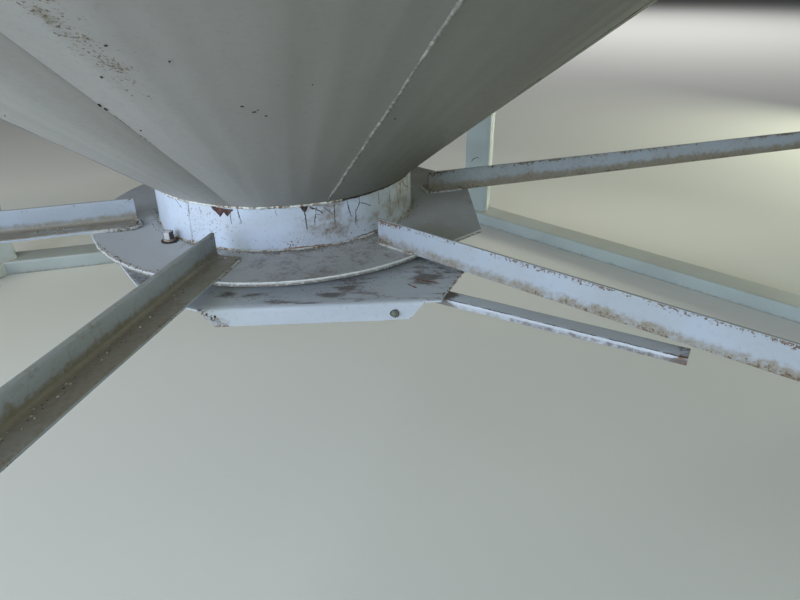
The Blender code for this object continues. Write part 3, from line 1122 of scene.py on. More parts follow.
@dataclass
class HopperCone(SubAssembly):
    """The cone: ten rolled gores, their lapped and beaded seams, and its marks."""

    gores: int = 10
    first_seam_deg: float = -82.0
    columns: int = 49
    rows: int = 60
    seam_columns: tuple[float, ...] = (0.0, 0.002, 0.005, 0.009, 0.014, 0.021, 0.030)
    facets: int = 8
    facet_depth: float = 0.0012
    edge_kink: float = 0.0006
    lap_reach: float = 0.003
    lap_step: float = -0.0012
    lap_blend: float = 0.010
    valley: float = 0.0030
    valley_reach: float = 0.034
    weld_top: float = 2.06
    weld_split: float = 0.79
    # Painted highlight: a strip with less shade beside the lap at gore 10's first edge; and painted shade
    # along the end of gore 9 next to it.
    painted_highlight_strip: float = 0.10
    painted_seam_shade: float = 0.34
    freckles_deg: float = 247.7
    freckles_radius: float = 0.56
    freckles_lean: float = 14.0
    # Painted shade by azimuth: how far each sheet darkens towards the dirt colour, least round -160 to -118
    # degrees and most round -46 degrees, as the light falls.
    painted_shade_by_azimuth: tuple[Pair, ...] = (
        (-180.0, 0.12), (-160.0, 0.02), (-118.0, 0.04), (-110.0, 0.09), (-104.0, 0.18), (-97.0, 0.33),
        (-90.0, 0.45), (-80.0, 0.58), (-60.0, 0.82), (-46.0, 0.98), (0.0, 0.70), (90.0, 0.45),
        (150.0, 0.25), (180.0, 0.12))
    specks: tuple[tuple[float, float, float, float], ...] = (
        (-100.8, 0.443, 3.0, 0.6), (-99.6, 0.434, 4.8, 0.55), (-98.3, 0.427, 3.0, 0.7),
        (-99.1, 0.437, 2.0, 1.0), (-128.3, 0.4405, 2.6, 0.7), (-141.7, 0.4078, 3.0, 0.6),
        (-116.2, 0.4038, 2.4, 0.9), (-113.3, 0.4853, 2.8, 0.9), (-105.7, 0.5036, 2.2, 1.0),
        (-110.0, 0.5215, 3.0, 0.7), (-79.8, 0.405, 3.4, 0.5), (-92.9, 0.470, 1.1, 1.4))

    @property
    def span_deg(self) -> float:
        """Azimuth that one gore covers."""
        return 360.0 / self.gores

    @property
    def top_radius(self) -> float:
        """Radius of the cone's upper edge."""
        return self.sizes.rim_radius - self.sizes.gap

    def seam_deg(self, number: int) -> float:
        """Azimuth of a gore's first edge."""
        return self.first_seam_deg + self.span_deg * (number - 1)

    def style(self, number: int) -> SeamStyle:
        """How the gore's first edge meets the gore before it."""
        return SeamStyle.BEAD if number % 2 else SeamStyle.LAP

    def fade(self, radius: Array) -> Array:
        """Share of the free waviness, which dies out at the collar and the rim."""
        return ease(self.sizes.collar_top_radius, 0.27, radius) * (1.0 - ease(1.95, self.top_radius, radius))

    def lift(self, number: int, radius: Array, share: Array, arc: Array) -> Array:
        """Distance of a gore's face from the true cone.

        Args:
            number: Number of the gore.
            radius: Radius.
            share: Place across the gore, from 0 to 1.
            arc: Distance from its first edge.

        Returns:
            Distance outward.
        """
        depth = np.random.default_rng(100 + number).uniform(0.35, 1.25, self.facets)
        facet = np.clip((share * self.facets).astype(int), 0, self.facets - 1)
        phase = 2.0 * (share * self.facets - facet) - 1.0
        flats = -self.facet_depth * radius * depth[facet] * (1.0 - phase**2)
        fade = self.fade(radius)
        free = (flats + 0.0011 * drift(200 + number, share * 2.2, radius * 2.6)) * fade
        under = self.style(number) is SeamStyle.LAP
        beaded = 1.0 - share if under else share
        by_bead = np.clip(2.0 * (1.0 - beaded) - 1.0, 0.0, 1.0) ** 9
        free = free + self.edge_kink * by_bead * (0.25 + 0.75 * fade)
        if under:
            return free - self.valley * np.exp(-arc / self.valley_reach) * fade
        left = np.maximum(np.radians(self.span_deg) * radius + self.lap_reach - arc, 0.0)
        step = self.lap_step * (1.0 - ease(0.0, self.lap_blend, left))
        return free - (self.valley * np.exp(-left / self.valley_reach) - step) * fade

    def gore(self, number: int) -> None:
        """Builds one gore.

        Args:
            number: Its number, from 1.
        """
        s = self.sizes
        start, end = self.seam_deg(number), self.seam_deg(number + 1)
        low, high = s.collar_top_radius, self.top_radius
        radii = low * (high / low) ** np.linspace(0.0, 1.0, self.rows)[:, None]
        hold = np.degrees(s.gap / 2 / radii)
        even = np.linspace(0.0, 1.0, self.columns)[None, :]
        close = np.degrees(np.array(self.seam_columns)[None, :] / radii)
        if self.style(number) is SeamStyle.LAP:
            close = start + hold + close
            rest = close[:, -1:] + (end - hold - close[:, -1:]) * even[:, 1:]
            azimuths = np.concatenate([close, rest], axis=1)
        else:
            close = (end + np.degrees(self.lap_reach / radii) * self.fade(radii) - close)[:, ::-1]
            rest = start + hold + (close[:, :1] - start - hold) * even[:, :-1]
            azimuths = np.concatenate([rest, close], axis=1)
        arc = np.radians(azimuths - start) * radii
        radii = np.broadcast_to(radii, azimuths.shape)
        share = np.clip((azimuths - start) / self.span_deg, 0.0, 0.9999)
        lift = self.lift(number, radii, share, arc)
        width = np.radians(self.span_deg) * radii
        foot = 1.0 - ease(0.209, 0.228, radii)
        seam = np.exp(-np.minimum(share, 1.0 - share) * width / 0.012)
        wear = 0.42 * foot * (0.5 + 0.5 * drift(17 + number, azimuths / 9.0, radii * 9.0)) + 0.10 * seam
        stain = 0.22 * foot
        # Painted shade by azimuth.
        tint = np.interp((azimuths + 180.0) % 360.0 - 180.0, *np.array(self.painted_shade_by_azimuth).T)
        if number == self.gores:
            line = self.freckles_deg + (self.freckles_radius - radii) * self.freckles_lean
            band = bump_at(azimuths - line, 0.0, 3.4)
            band = band * ease(0.38, 0.50, radii) * (1.0 - ease(0.75, 1.1, radii))
            wear = wear + 0.64 * band
            stain = stain + 0.48 * band
            # Painted highlight: a lighter strip beside the lap.
            tint = tint - self.painted_highlight_strip * np.exp(-((arc / 0.045) ** 4))
        if number == self.gores - 1:
            # Painted shade along the end of this gore, by the lap.
            tint = tint + self.painted_seam_shade * bump_at((width - arc) / (0.13 * radii + 0.02), 0.0, 1.0)
        outer, inner = (ConeFace(s).point(azimuths, radii, stand) for stand in (lift, lift - s.sheet))
        Skin().slab(outer, inner, tint, wear=wear, grime=0.18 * foot + 0.10 * seam, stain=stain).give(
            f"cone_gore_{number}_sheet", CONE_PAINT, Slot.CONE, f"cone_gore_{number}", sharp_deg=50.0)

    def seam_line(self, number: int, lift: float, low: float, high: float, steps: int) -> Array:
        """Points along a gore's first edge.

        Args:
            number: Number of the gore.
            lift: Distance outward from the sheet.
            low: First radius.
            high: Last radius.
            steps: Number of points.

        Returns:
            The points.
        """
        radii = np.linspace(low, high, steps)
        stand = self.edge_kink * (0.25 + 0.75 * self.fade(radii))
        sway = 0.0014 * drift(300 + number, radii * 7.0) + 0.0010 * drift(320 + number, radii * 30.0)
        azimuths = self.seam_deg(number) + np.degrees(sway / radii)
        return ConeFace(self.sizes).point(azimuths, radii, stand + lift)

    def seams(self) -> None:
        """Weld beads of the beaded seams, close to the outlet and above, and the one ground smooth."""
        foot = self.sizes.collar_top_radius + 0.001
        beaded = [n for n in range(1, self.gores, 2) if n != self.gores - 1]
        smooth = [self.seam_line(self.gores - 1, -0.0012, foot, self.weld_top, 240)]
        low = [self.seam_line(n, -0.0008, foot, self.weld_split + 0.01, 120) for n in beaded]
        high = [self.seam_line(n, -0.0008, self.weld_split, self.weld_top, 120) for n in beaded]
        beads = self.grower.beads
        beads("cone_ground_weld", CONE_PAINT, Slot.CONE, smooth, 0.0017, 0.0050, 0.2, 0.0006, 120.0, 7)
        beads("cone_seam_welds_low", SEAM_WELD, Slot.CONE, low, 0.0023, 0.0022, 0.7, 0.0032, 150.0, 5)
        beads("cone_seam_welds_high", SEAM_WELD, Slot.CONE, high, 0.0024, 0.0050, 0.7, 0.0032, 120.0, 6)

    def marks(self) -> None:
        """Rust specks and the lapped seams' marks."""
        spots = Marks(ConeFace(self.sizes), 41)
        for azimuth, radius, size, stretch in self.specks:
            spots.speck(azimuth, radius, size * MM, stretch)
        rng = np.random.default_rng(43)
        for _ in range(60):
            spots.speck(rng.uniform(-180.0, 180.0), rng.uniform(0.5, 1.9), rng.uniform(0.0006, 0.0013),
                        rng.uniform(0.6, 1.6), 0.00012)
        spots.give("cone_dark_specks", CRACK, Slot.CONE)
        for number in range(1, self.gores + 1):
            if self.style(number) is SeamStyle.LAP:
                self.lap(number)

    def lap(self, number: int) -> None:
        """The dark, broken line of the open lap at a gore's first edge, and the pale paint run above it,
        which is also a painted highlight.

        Args:
            number: Number of the gore.
        """
        start = self.seam_deg(number)
        rng = np.random.default_rng(700 + number)
        face = ConeFace(self.sizes)
        gaps, runs = Marks(face, 720 + number), Marks(face, 740 + number)
        thin = 1.0 if number == self.gores else 0.6
        radius = 0.225
        while radius < 2.0:
            last = min(radius * (1.0 + rng.uniform(0.02, 0.09)), 2.04)
            radii = np.linspace(radius, last, 20)
            low = -self.valley * self.fade(radii)
            width = thin * rng.uniform(0.0002, 0.0004)
            gaps.lifted_ribbon(start - np.degrees(0.0003 / radii), radii, low - 0.0004, width, 0.0003)
            width = thin * rng.uniform(0.0007, 0.0014)
            # Pale runs beside the lap: paint runs, and a painted highlight along its lit edge.
            runs.lifted_ribbon(start + np.degrees(0.0007 / radii), radii, low, width, 0.0003, 0.9)
            radius = last + rng.uniform(0.01, 0.08) * (1.0 + radius)
        if number == self.gores:
            # Black blots for two holes in the lap: painted shade where the holes show dark.
            holes = Marks(face, 761)
            depth = np.full(8, 0.0004 - self.valley)
            for near, aside in ((0.4353, 0.15), (0.4416, 0.05)):
                radii = near + np.linspace(-0.0019, 0.0019, 8)
                holes.lifted_ribbon(np.full(8, start + aside), radii, depth, 0.0024, 0.0006)
            holes.give("cone_lap_holes", GAP_SHADE, Slot.CONE)
        gaps.give(f"cone_lap_shadow_{number}", CRACK, Slot.CONE)
        runs.give(f"cone_lap_paint_highlight_{number}", LAP_PAINT_HIGHLIGHT, Slot.CONE)

    def build(self) -> None:
        """Builds and dresses the cone."""
        for number in range(1, self.gores + 1):
            self.gore(number)
        self.seams()
        self.marks()


# Collar

@dataclass
class OutletCollar(SubAssembly):
    """The rolled collar with its cracked paint, its sealer and its welds."""

    columns: int = 480
    joint_deg: float = -139.6
    rusty: tuple[tuple[float, float, float, float, float], ...] = (
        (0.36, -72.0, 7.0, 14.0, 12.0), (0.50, -97.0, 4.0, 9.0, 8.0), (0.34, -45.0, 12.0, 12.0, 12.0),
        (0.42, -85.0, 9.0, 24.0, 12.0), (0.40, -128.0, 8.0, 45.0, 16.0), (0.50, 60.0, 30.0, 14.0, 14.0),
        (0.45, 150.0, 12.0, 30.0, 20.0))
    cracks: tuple[tuple[float, tuple[Pair, ...]], ...] = (
        (1.3, ((-91.1, 62.0), (-90.9, 52.0), (-90.7, 43.5), (-90.5, 27.0))),
        (1.1, ((-86.3, 62.0), (-86.5, 55.5), (-87.1, 45.0), (-87.5, 34.0))),
        (1.5, ((-89.3, 62.8), (-87.4, 58.0), (-85.2, 53.5), (-83.9, 50.0))),
        (1.0, ((-84.0, 60.0), (-81.5, 51.0), (-79.3, 44.0))),
        (1.2, ((-79.1, 62.0), (-79.2, 45.0), (-79.3, 28.0))),
        (1.2, ((-73.6, 62.0), (-73.0, 50.0), (-72.1, 35.0))),
        (1.4, ((-67.9, 63.4), (-68.0, 53.4), (-69.8, 43.1), (-70.3, 22.0))),
        (1.2, ((-68.0, 54.6), (-65.0, 50.0), (-61.9, 44.0))), (0.8, ((-57.3, 61.5), (-57.4, 41.0))),
        (0.8, ((-50.5, 61.0), (-50.1, 34.0))), (0.9, ((-44.7, 60.0), (-43.5, 36.0), (-42.5, 14.7))),
        (0.7, ((-40.4, 60.0), (-40.0, 40.0))),
        (1.0, ((-38.4, 60.0), (-36.4, 52.0), (-34.9, 47.0), (-28.8, 38.7))),
        (0.9, ((-26.0, 60.0), (-24.0, 46.0), (-23.2, 34.0))),
        (1.2, ((-116.4, 62.5), (-115.9, 54.0), (-115.3, 40.4))),
        (0.9, ((-119.0, 58.0), (-119.5, 48.0), (-119.3, 38.5))),
        (0.8, ((-146.8, 63.0), (-145.0, 57.5), (-143.3, 51.8))),
        (1.0, ((-138.5, 61.0), (-139.2, 42.0), (-139.8, 17.0), (-140.4, 1.0))),
        (0.6, ((-89.0, 60.0), (-87.6, 57.0), (-85.6, 58.0))), (0.6, ((-86.6, 50.0), (-84.6, 47.0))),
        (0.6, ((-83.5, 61.0), (-81.6, 58.0), (-79.6, 58.6))), (0.6, ((-81.6, 55.0), (-80.6, 49.5))),
        (0.6, ((-75.8, 60.0), (-75.0, 55.0))), (0.5, ((-70.4, 60.0), (-69.2, 57.0))),
        (0.6, ((-133.0, 60.0), (-132.4, 50.0))), (0.6, ((-102.0, 61.0), (-101.4, 52.0))))
    gash: tuple[Pair, ...] = ((-92.6, 63.0), (-91.8, 57.0), (-90.9, 53.0), (-90.0, 57.0), (-89.4, 63.0),
                              (-91.0, 64.2))
    chips: tuple[tuple[Pair, ...], ...] = (
        ((-127.3, 62.8), (-127.0, 59.0), (-125.7, 55.5), (-122.6, 55.0), (-120.0, 55.2), (-118.2, 58.5),
         (-117.8, 60.8), (-120.4, 61.0), (-123.4, 61.6), (-125.5, 63.0)),
        ((-126.2, 57.5), (-124.8, 52.8), (-123.7, 48.4), (-122.7, 52.5), (-121.8, 57.5)),
        ((-122.2, 57.5), (-121.6, 53.5), (-120.7, 49.6), (-119.7, 53.5), (-118.9, 57.5)))
    red_specks: tuple[Corner, ...] = (
        (-139.3, 30.0, 1.6), (-139.9, 22.0, 2.0), (-138.9, 47.0, 1.4), (-137.6, 52.0, 1.2),
        (-72.5, 12.0, 2.2), (-69.0, 18.0, 1.8), (-66.0, 10.0, 2.4), (-61.0, 14.0, 1.8),
        (-97.5, 8.0, 2.0), (-94.5, 11.0, 1.6), (-79.0, 26.0, 2.6), (-84.4, 50.0, 2.4))

    def ring(self) -> None:
        """The collar's ring."""
        s = self.sizes
        heights = np.array([0.3, 2.0, 6.0, 12.0, 20.0, 28.0, 36.0, 44.0, 52.0, 58.0, 62.0, 64.0]) * MM
        azimuths = np.linspace(-180.0, 180.0, self.columns, endpoint=False)[:, None]
        face = CollarFace(s)
        outer = face.point(azimuths, heights[None, :], 0.0)
        inner = face.point(azimuths, heights[None, ::-1], s.discharge_radius - s.collar_foot_radius)
        height = np.concatenate([heights, heights[::-1]])[None, :]
        out = np.repeat([1.0, 0.0], len(heights))[None, :]
        foot = 1.0 - ease(0.0, 0.012, height)
        head = ease(0.052, 0.064, height)
        joint = bump_at(azimuths, self.joint_deg, 1.1)
        rusty = sum(much * bump_at(azimuths, deg, wide) * bump_at(height, up * MM, tall * MM)
                    for much, deg, wide, up, tall in self.rusty)
        speckled = bump_at(azimuths, -80.0, 22.0) * bump_at(height, 0.022, 0.02)
        speckled = speckled + bump_at(azimuths, -38.0, 16.0)
        right = ease(-92.0, -66.0, azimuths) * (1.0 - ease(-20.0, -8.0, azimuths))
        under = bump_at(azimuths, -80.0, 10.0) * ease(0.022, 0.050, height)
        patches = drift(33, azimuths / 13.0, height * 55.0)
        stain = 0.16 * patches + 0.30 * speckled + 0.24 * head + 0.20 * joint
        skin = Skin()
        skin.grid(np.concatenate([outer, inner], axis=1), True, True,
                  wear=out * (1.1 * rusty + 0.34 * foot + 0.30 * head + 0.52 * joint),
                  grime=out * (0.55 * foot + 0.25 * joint + 0.16 * head),
                  stain=out * (stain + 0.10 + 0.14 * right + 0.36 * under))
        skin.give("outlet_collar_ring", COLLAR_PAINT, Slot.COLLAR, "outlet_collar")

    def line(self, first_deg: float, last_deg: float, height: float, lift: float) -> Array:
        """Points round the collar.

        Args:
            first_deg: First azimuth.
            last_deg: Last azimuth.
            height: Height above the plate.
            lift: Distance outward.

        Returns:
            The points.
        """
        azimuths = np.linspace(first_deg, last_deg, max(8, int(abs(last_deg - first_deg) / 1.5)))
        return CollarFace(self.sizes).point(azimuths, height + 0.0006 * drift(77, azimuths / 6.0), lift)

    def welds(self) -> None:
        """Sealer under the cone, the weld at the foot and the collar's own joint."""
        top = self.sizes.collar_height + 0.0008
        sealed = [self.line(*ends, top, 0.0010) for ends in ((-176.0, -76.0), (-14.0, 92.0), (100.0, 172.0))]
        bare = [self.line(*ends, top, 0.0004) for ends in ((-76.5, -13.5), (91.5, 100.5), (171.5, 184.5))]
        foot = [self.line(-180.0, 178.0, 0.0009, 0.0003)]
        azimuths = np.linspace(-138.9, -140.3, 30) + 0.25 * drift(5, np.linspace(0, 3, 30))
        joint = [CollarFace(self.sizes).point(azimuths, np.linspace(0.062, 0.001, 30), -0.0004)]
        beads, slot = self.grower.beads, Slot.COLLAR
        beads("collar_sealer_bead", SEALER, slot, sealed, 0.0021, 0.0017, 0.95, 0.0034, 200.0, 11)
        beads("collar_open_joint", CRACK, slot, bare, 0.0019, 0.0022, 0.8, 0.0016, 300.0, 12)
        beads("collar_foot_weld", FOOT_WELD, slot, foot, 0.0014, 0.0030, 0.45, 0.0008, 200.0, 13, 7, True)
        beads("collar_joint_weld", COLLAR_PAINT, slot, joint, 0.0013, 0.0016, 0.6, 0.0012, 420.0, 14)

    def marks(self) -> None:
        """Cracks, crackle, red chips and the rust line at the foot."""
        face = CollarFace(self.sizes)

        def scaled(path: Sequence[Pair]) -> list[Pair]:
            """A path whose heights are in millimetres."""
            return [(azimuth, height * MM) for azimuth, height in path]

        cracks = Marks(face, 51)
        for width, path in self.cracks:
            cracks.ribbon(scaled(path), 1.1 * width * MM, 0.0003, 0.5)
        cracks.blot(scaled(self.gash))
        rng = np.random.default_rng(53)
        for base, span in ((15.0, 40.0), (70.0, 30.0), (118.0, 34.0), (160.0, 14.0)):
            for _ in range(7):
                spot = base + rng.uniform(-0.5, 0.5) * span
                foot = rng.uniform(20.0, 48.0)
                lean = rng.normal(0.0, 1.4)
                path = ((spot, 62.0), (spot + lean * 0.4, (62.0 + foot) / 2), (spot + lean, foot))
                cracks.ribbon(scaled(path), rng.uniform(0.7, 1.3) * MM)
        cracks.give("collar_paint_cracks", CRACK, Slot.COLLAR)
        crackle = Marks(face, 61)
        for count, centre, wide, low, high, small, large in ((260, -129.0, 8.0, 12.0, 56.0, 0.7, 2.1),
                                                             (120, -92.0, 9.0, 3.0, 26.0, 0.6, 1.8)):
            for _ in range(count):
                crackle.speck(rng.normal(centre, wide), rng.uniform(low, high) * MM,
                              rng.uniform(small, large) * MM, rng.uniform(0.5, 1.6), 0.00012)
        crackle.give("collar_crackle_specks", CRACKLE, Slot.COLLAR)
        chip = Marks(face, 57)
        for outline in self.chips:
            chip.blot(scaled(outline), 0.0004)
        for azimuth, height, size in self.red_specks:
            chip.speck(azimuth, height * MM, size * MM)
        chip.give("collar_red_chips", OXIDE, Slot.COLLAR)
        run = Marks(face, 59)
        run.ribbon([(a, 0.0030 + 0.0004 * math.sin(a)) for a in range(-100, -83, 2)], 0.0020)
        run.ribbon([(a, 0.0034) for a in range(-72, -50, 2)], 0.0015)
        run.ribbon([(a, 0.0032) for a in range(20, 60, 2)], 0.0018)
        run.give("collar_foot_rust", RUST, Slot.COLLAR)

    def build(self) -> None:
        """Builds and dresses the collar."""
        self.ring()
        self.welds()
        self.marks()


# Flange plate and throat

def edge_radius(outline: Array, azimuths: Array) -> Array:
    """Distance from the axis to a closed outline.

    Args:
        outline: Corners, x and y.
        azimuths: Azimuths in degrees.

    Returns:
        Distance at each azimuth.
    """
    way_x, way_y = np.cos(np.radians(azimuths)), np.sin(np.radians(azimuths))
    best = np.full(len(azimuths), np.inf)
    for start, end in zip(outline, np.roll(outline, -1, axis=0)):
        side = end - start
        cross = way_x * side[1] - way_y * side[0]
        cross = np.where(np.abs(cross) < 1e-12, 1e-12, cross)
        distance = (start[0] * side[1] - start[1] * side[0]) / cross
        share = (start[0] * way_y - start[1] * way_x) / cross
        hit = (distance > 0) & (share >= -1e-6) & (share <= 1 + 1e-6)
        best = np.where(hit & (distance < best), distance, best)
    return best


@dataclass
class FlangePlate(SubAssembly):
    """The plate under the collar, its throat ring, its nut, and the dirt on it."""

    flat_deg: float = -17.0
    flat_distance: float = 0.315
    corner_distance: float = 0.317
    corner_turn_deg: float = 45.0
    arc_corners: int = 181
    edge_round: float = 0.0012
    throat_wall: float = 0.005
    # Painted shade by azimuth on the plate's top: none from -180 to -136 degrees, rising to 0.3 round 0
    # degrees, where less light falls.
    painted_shade_by_azimuth: tuple[Pair, ...] = ((-180.0, 0.0), (-136.0, 0.0), (-112.0, 0.18), (-60.0, 0.28), (0.0, 0.30),
                               (180.0, 0.20))
    nut_deg: float = -148.6
    nut_radius: float = 0.2251
    nut_width: float = 0.0136
    nut_height: float = 0.0108
    nut_foot: float = 0.0045
    nut_turn_deg: float = -85.2
    # Azimuth that the nut's painted shade is centred on.
    nut_shade_deg: float = -10.0

    def corners(self) -> Array:
        """Outline of the plate as corners, the arc in short chords."""
        turn = math.radians(self.corner_turn_deg)
        reach = (self.corner_distance - self.flat_distance * math.cos(turn)) / math.sin(turn)
        corner = math.degrees(math.atan2(reach, self.flat_distance))
        far = math.hypot(reach, self.flat_distance)
        arc = np.linspace(self.corner_turn_deg, 360.0 - self.corner_turn_deg, self.arc_corners)
        turns = self.flat_deg + np.concatenate([[-corner, corner], arc])
        radii = np.array([far, far] + [self.sizes.plate_radius] * self.arc_corners)
        return ring_point(radii, turns, 0.0)[:, :2]

    def plate(self) -> None:
        """The plate itself."""
        s, r = self.sizes, self.edge_round
        corners = self.corners()
        own = np.degrees(np.arctan2(corners[:2, 1], corners[:2, 0]))
        even = np.linspace(-180.0, 180.0, 481)[:-1]
        azimuths = np.sort(np.concatenate([even, own, own + 0.12, own - 0.12]))
        torched = ease(-170.0, -163.0, azimuths) * (1.0 - ease(-136.0, -131.0, azimuths))
        ragged = torched * (0.0008 * drift(61, azimuths / 2.2) + 0.0006 * drift(62, azimuths / 0.7) - 0.0006)
        reach = edge_radius(corners, azimuths) + ragged + 0.0003 * drift(63, azimuths / 4.0)
        near = s.discharge_radius
        wave = 0.0004 * drift(64, azimuths / 20.0)
        over, under = s.plate_top + wave, s.plate_bottom + wave
        shares = np.concatenate([np.linspace(0.0, 0.9, 18), [0.94, 0.965, 0.98]])
        rows = [(near + (reach - r - near) * share / 0.98, s.plate_top + wave * share) for share in shares]
        rows += [(reach - r + r * math.sin(turn), over - r * (1.0 - math.cos(turn)))
                 for turn in np.radians((30.0, 60.0, 90.0))]
        rows += [(reach, over - 0.0020), (reach, over - 0.0026), (reach, under + r), (reach - r, under),
                 (near, s.plate_bottom)]
        points = np.array([ring_point(radius, azimuths, height) for radius, height in rows])
        radius, height = np.hypot(points[..., 0], points[..., 1]), points[..., 2]
        turn = np.broadcast_to(azimuths, radius.shape)
        by_edge = 1.0 - ease(0.0, 0.012, reach - radius)
        by_foot = 1.0 - ease(0.0, 0.016, radius - s.collar_foot_radius)
        front = bump_at(azimuths, -83.0, 38.0)
        top = (height > s.plate_top - 0.0008).astype(float)
        # Painted shade: the lower part of the plate's edge and its underside are darkened through grime and
        # stain, so that only a thin pale line shows at the edge's top.
        low = (height < s.plate_top - 0.0024 + wave).astype(float)
        patches = 0.20 * drift(65, turn / 16.0, radius * 22.0)
        grime = top * (0.46 * by_foot + 0.08 + 0.36 * front + patches + 0.08 * by_edge) + 0.9 * low
        stains = 0.20 * drift(66, turn / 11.0, radius * 30.0)
        stain = top * (stains - 0.02 + 0.34 * front + 0.26 * by_foot) + 0.5 * low
        # Painted shade on the top face, by azimuth.
        tint = np.interp(azimuths, *np.array(self.painted_shade_by_azimuth).T)
        skin = Skin()
        skin.grid(points, True, True, wear=(0.16 + 0.40 * torched) * by_edge + 0.06 * top, grime=grime,
                  stain=stain, tint=top * tint)
        skin.give("flange_plate_sheet", PLATE_PAINT, Slot.PLATE, "flange_plate")

    def throat(self) -> None:
        """The ring between the plate and the pan."""
        s = self.sizes
        azimuths = np.linspace(-180.0, 180.0, 240, endpoint=False)[:, None]
        low, high = s.pan_top + s.gap, s.plate_bottom - s.gap
        radii = s.discharge_radius + self.throat_wall * np.repeat([1.0, 0.0], 4)[None, :]
        up = np.array([low, low + 0.004, high - 0.004, high])
        heights = np.concatenate([up, up[::-1]])[None, :]
        swell = 0.0004 * drift(71, azimuths / 25.0, heights * 40.0)
        skin = Skin()
        skin.grid(ring_point(radii + swell, azimuths, heights), True, True, grime=0.35, wear=0.30)
        skin.give("outlet_throat_ring", PLATE_PAINT, Slot.PLATE, "outlet_throat")

    def turned_part(self, name: str, finish: Finish, profile: Sequence[Pair], sides: int = 36,
                    hexagon: float = 0.0) -> None:
        """A small turned or hexagonal part on the nut's axis.

        Args:
            name: Name of the piece.
            finish: Its finish.
            profile: Radius and height of its rows, from the foot's middle to the top's middle.
            sides: Points round it.
            hexagon: Width across flats that cuts its rows, or 0.
        """
        base = ring_point(self.nut_radius, self.nut_deg, self.sizes.plate_top)
        turns = np.linspace(0.0, 360.0, sides, endpoint=False)
        limit = hexagon / 2 / np.cos(np.radians(turns % 60.0 - 30.0)) if hexagon else np.inf
        turns = turns + self.nut_turn_deg
        rows = [base + ring_point(np.minimum(radius, limit), turns, height) for radius, height in profile]
        flank = np.array([float(radius > self.nut_width * 0.45) for radius, _ in profile])[:, None]
        # Painted shade: the nut's flanks on the side turned from the light are darkened through the grime and
        # shading masks.
        shaded_side = flank * ease(0.24, 0.36, np.cos(np.radians(turns - self.nut_shade_deg)))
        Skin().bar(np.array(rows), wear=0.1, grime=shaded_side, tint=0.9 * shaded_side).give(
            name, finish, Slot.PLATE, sharp_deg=25.0)

    def fastener(self) -> None:
        """The nut, its washers and the end of its bolt."""
        half, foot, head = self.nut_width / 2, self.nut_foot, self.nut_foot + self.nut_height
        corner = half / math.cos(math.radians(30.0))
        self.turned_part("plate_nut_washer", WASHER_RUST, (
            (0.004, 0.0002), (0.0116, 0.0002), (0.0124, 0.0006), (0.0124, 0.0014), (0.0118, 0.0020),
            (0.004, 0.0020)))
        self.turned_part("plate_lock_washer", LOCK_STEEL, (
            (0.004, 0.0018), (0.0084, 0.0018), (0.0086, 0.0024), (0.0086, 0.0040), (0.0082, 0.0046),
            (0.004, 0.0046)))
        self.turned_part("plate_hex_nut", NUT_PAINT, (
            (0.005, foot), (half * 0.98, foot), (corner, foot + 0.0006), (corner, head - 0.0010),
            (half * 0.96, head), (0.005, head)), 48, self.nut_width)
        self.turned_part("plate_bolt_end", NUT_PAINT, (
            (0.003, head - 0.002), (0.0045, head - 0.001), (0.0045, head + 0.0004), (0.0038, head + 0.0009),
            (0.0012, head + 0.0010)), 24)

    def marks(self) -> None:
        """Scratches, bright flecks and rust specks on the plate."""
        bright, dark = (Marks(RoundFace(self.sizes.plate_top), seed) for seed in (81, 85))
        bright.ribbon([(-43.6, 0.255), (-40.0, 0.263), (-37.1, 0.271)], 0.0009)
        bright.ribbon([(-31.5, 0.298), (-32.0, 0.3075)], 0.0011)
        bright.speck(-35.5, 0.257, 0.0030, 0.5)
        rng = np.random.default_rng(83)
        for _ in range(40):
            bright.speck(rng.uniform(-166.0, -134.0), 0.3082 - abs(rng.normal(0.0, 0.0022)),
                         rng.uniform(0.0016, 0.0050), rng.uniform(0.3, 0.8))
        bright.give("plate_bright_flecks", SEALER, Slot.PLATE)
        for _ in range(44):
            dark.speck(rng.uniform(-168.0, -130.0), 0.3080 - abs(rng.normal(0.0, 0.0030)),
                       rng.uniform(0.0010, 0.0040), rng.uniform(0.3, 0.9))
        for _ in range(50):
            dark.speck(rng.uniform(-180.0, 180.0), rng.uniform(0.213, 0.306), rng.uniform(0.0006, 0.0014),
                       rng.uniform(0.5, 1.6), 0.00014)
        dark.give("plate_rust_specks", RUST, Slot.PLATE)

    def trim(self) -> None:
        """The throat's welds, a pale bead of worn paint and painted highlight along the plate's front edge,
        and the dirt round the collar's foot.
        """
        s = self.sizes
        azimuths = np.linspace(-180.0, 180.0, 240, endpoint=False)
        rings = [ring_point(s.discharge_radius + 0.0062, azimuths, height)
                 for height in (s.plate_bottom - 0.0006, s.pan_top + 0.0006)]
        # Worn paint and a painted highlight along the front edge.
        edge = [ring_point(s.plate_radius - 0.0006, np.linspace(-121.0, -55.0, 90), s.plate_top - 0.0003)]
        around = np.linspace(-178.0, 178.0, 90)[None, :]
        patch = ring_point(np.linspace(0.211, 0.224, 3)[:, None], around, s.plate_top + 0.0002)
        beads = self.grower.beads
        beads("throat_welds", GREY_WELD, Slot.PLATE, rings, 0.0022, 0.005, 0.5, 0.0012, 200.0, 21, 7, True)
        beads("plate_bare_edge", EDGE_PAINT_HIGHLIGHT, Slot.PLATE, edge, 0.0010, 0.003, 0.3, 0.0004, 160.0, 23, 6)
        self.grower.crumbs("plate_dirt_crumbs", DIRT, Slot.PLATE, [patch], 26000.0, 0.0013, 22)

    def build(self) -> None:
        """Builds and dresses the plate, its throat and its nut."""
        self.plate()
        self.throat()
        self.fastener()
        self.marks()
        self.trim()


# Gate pan and arm

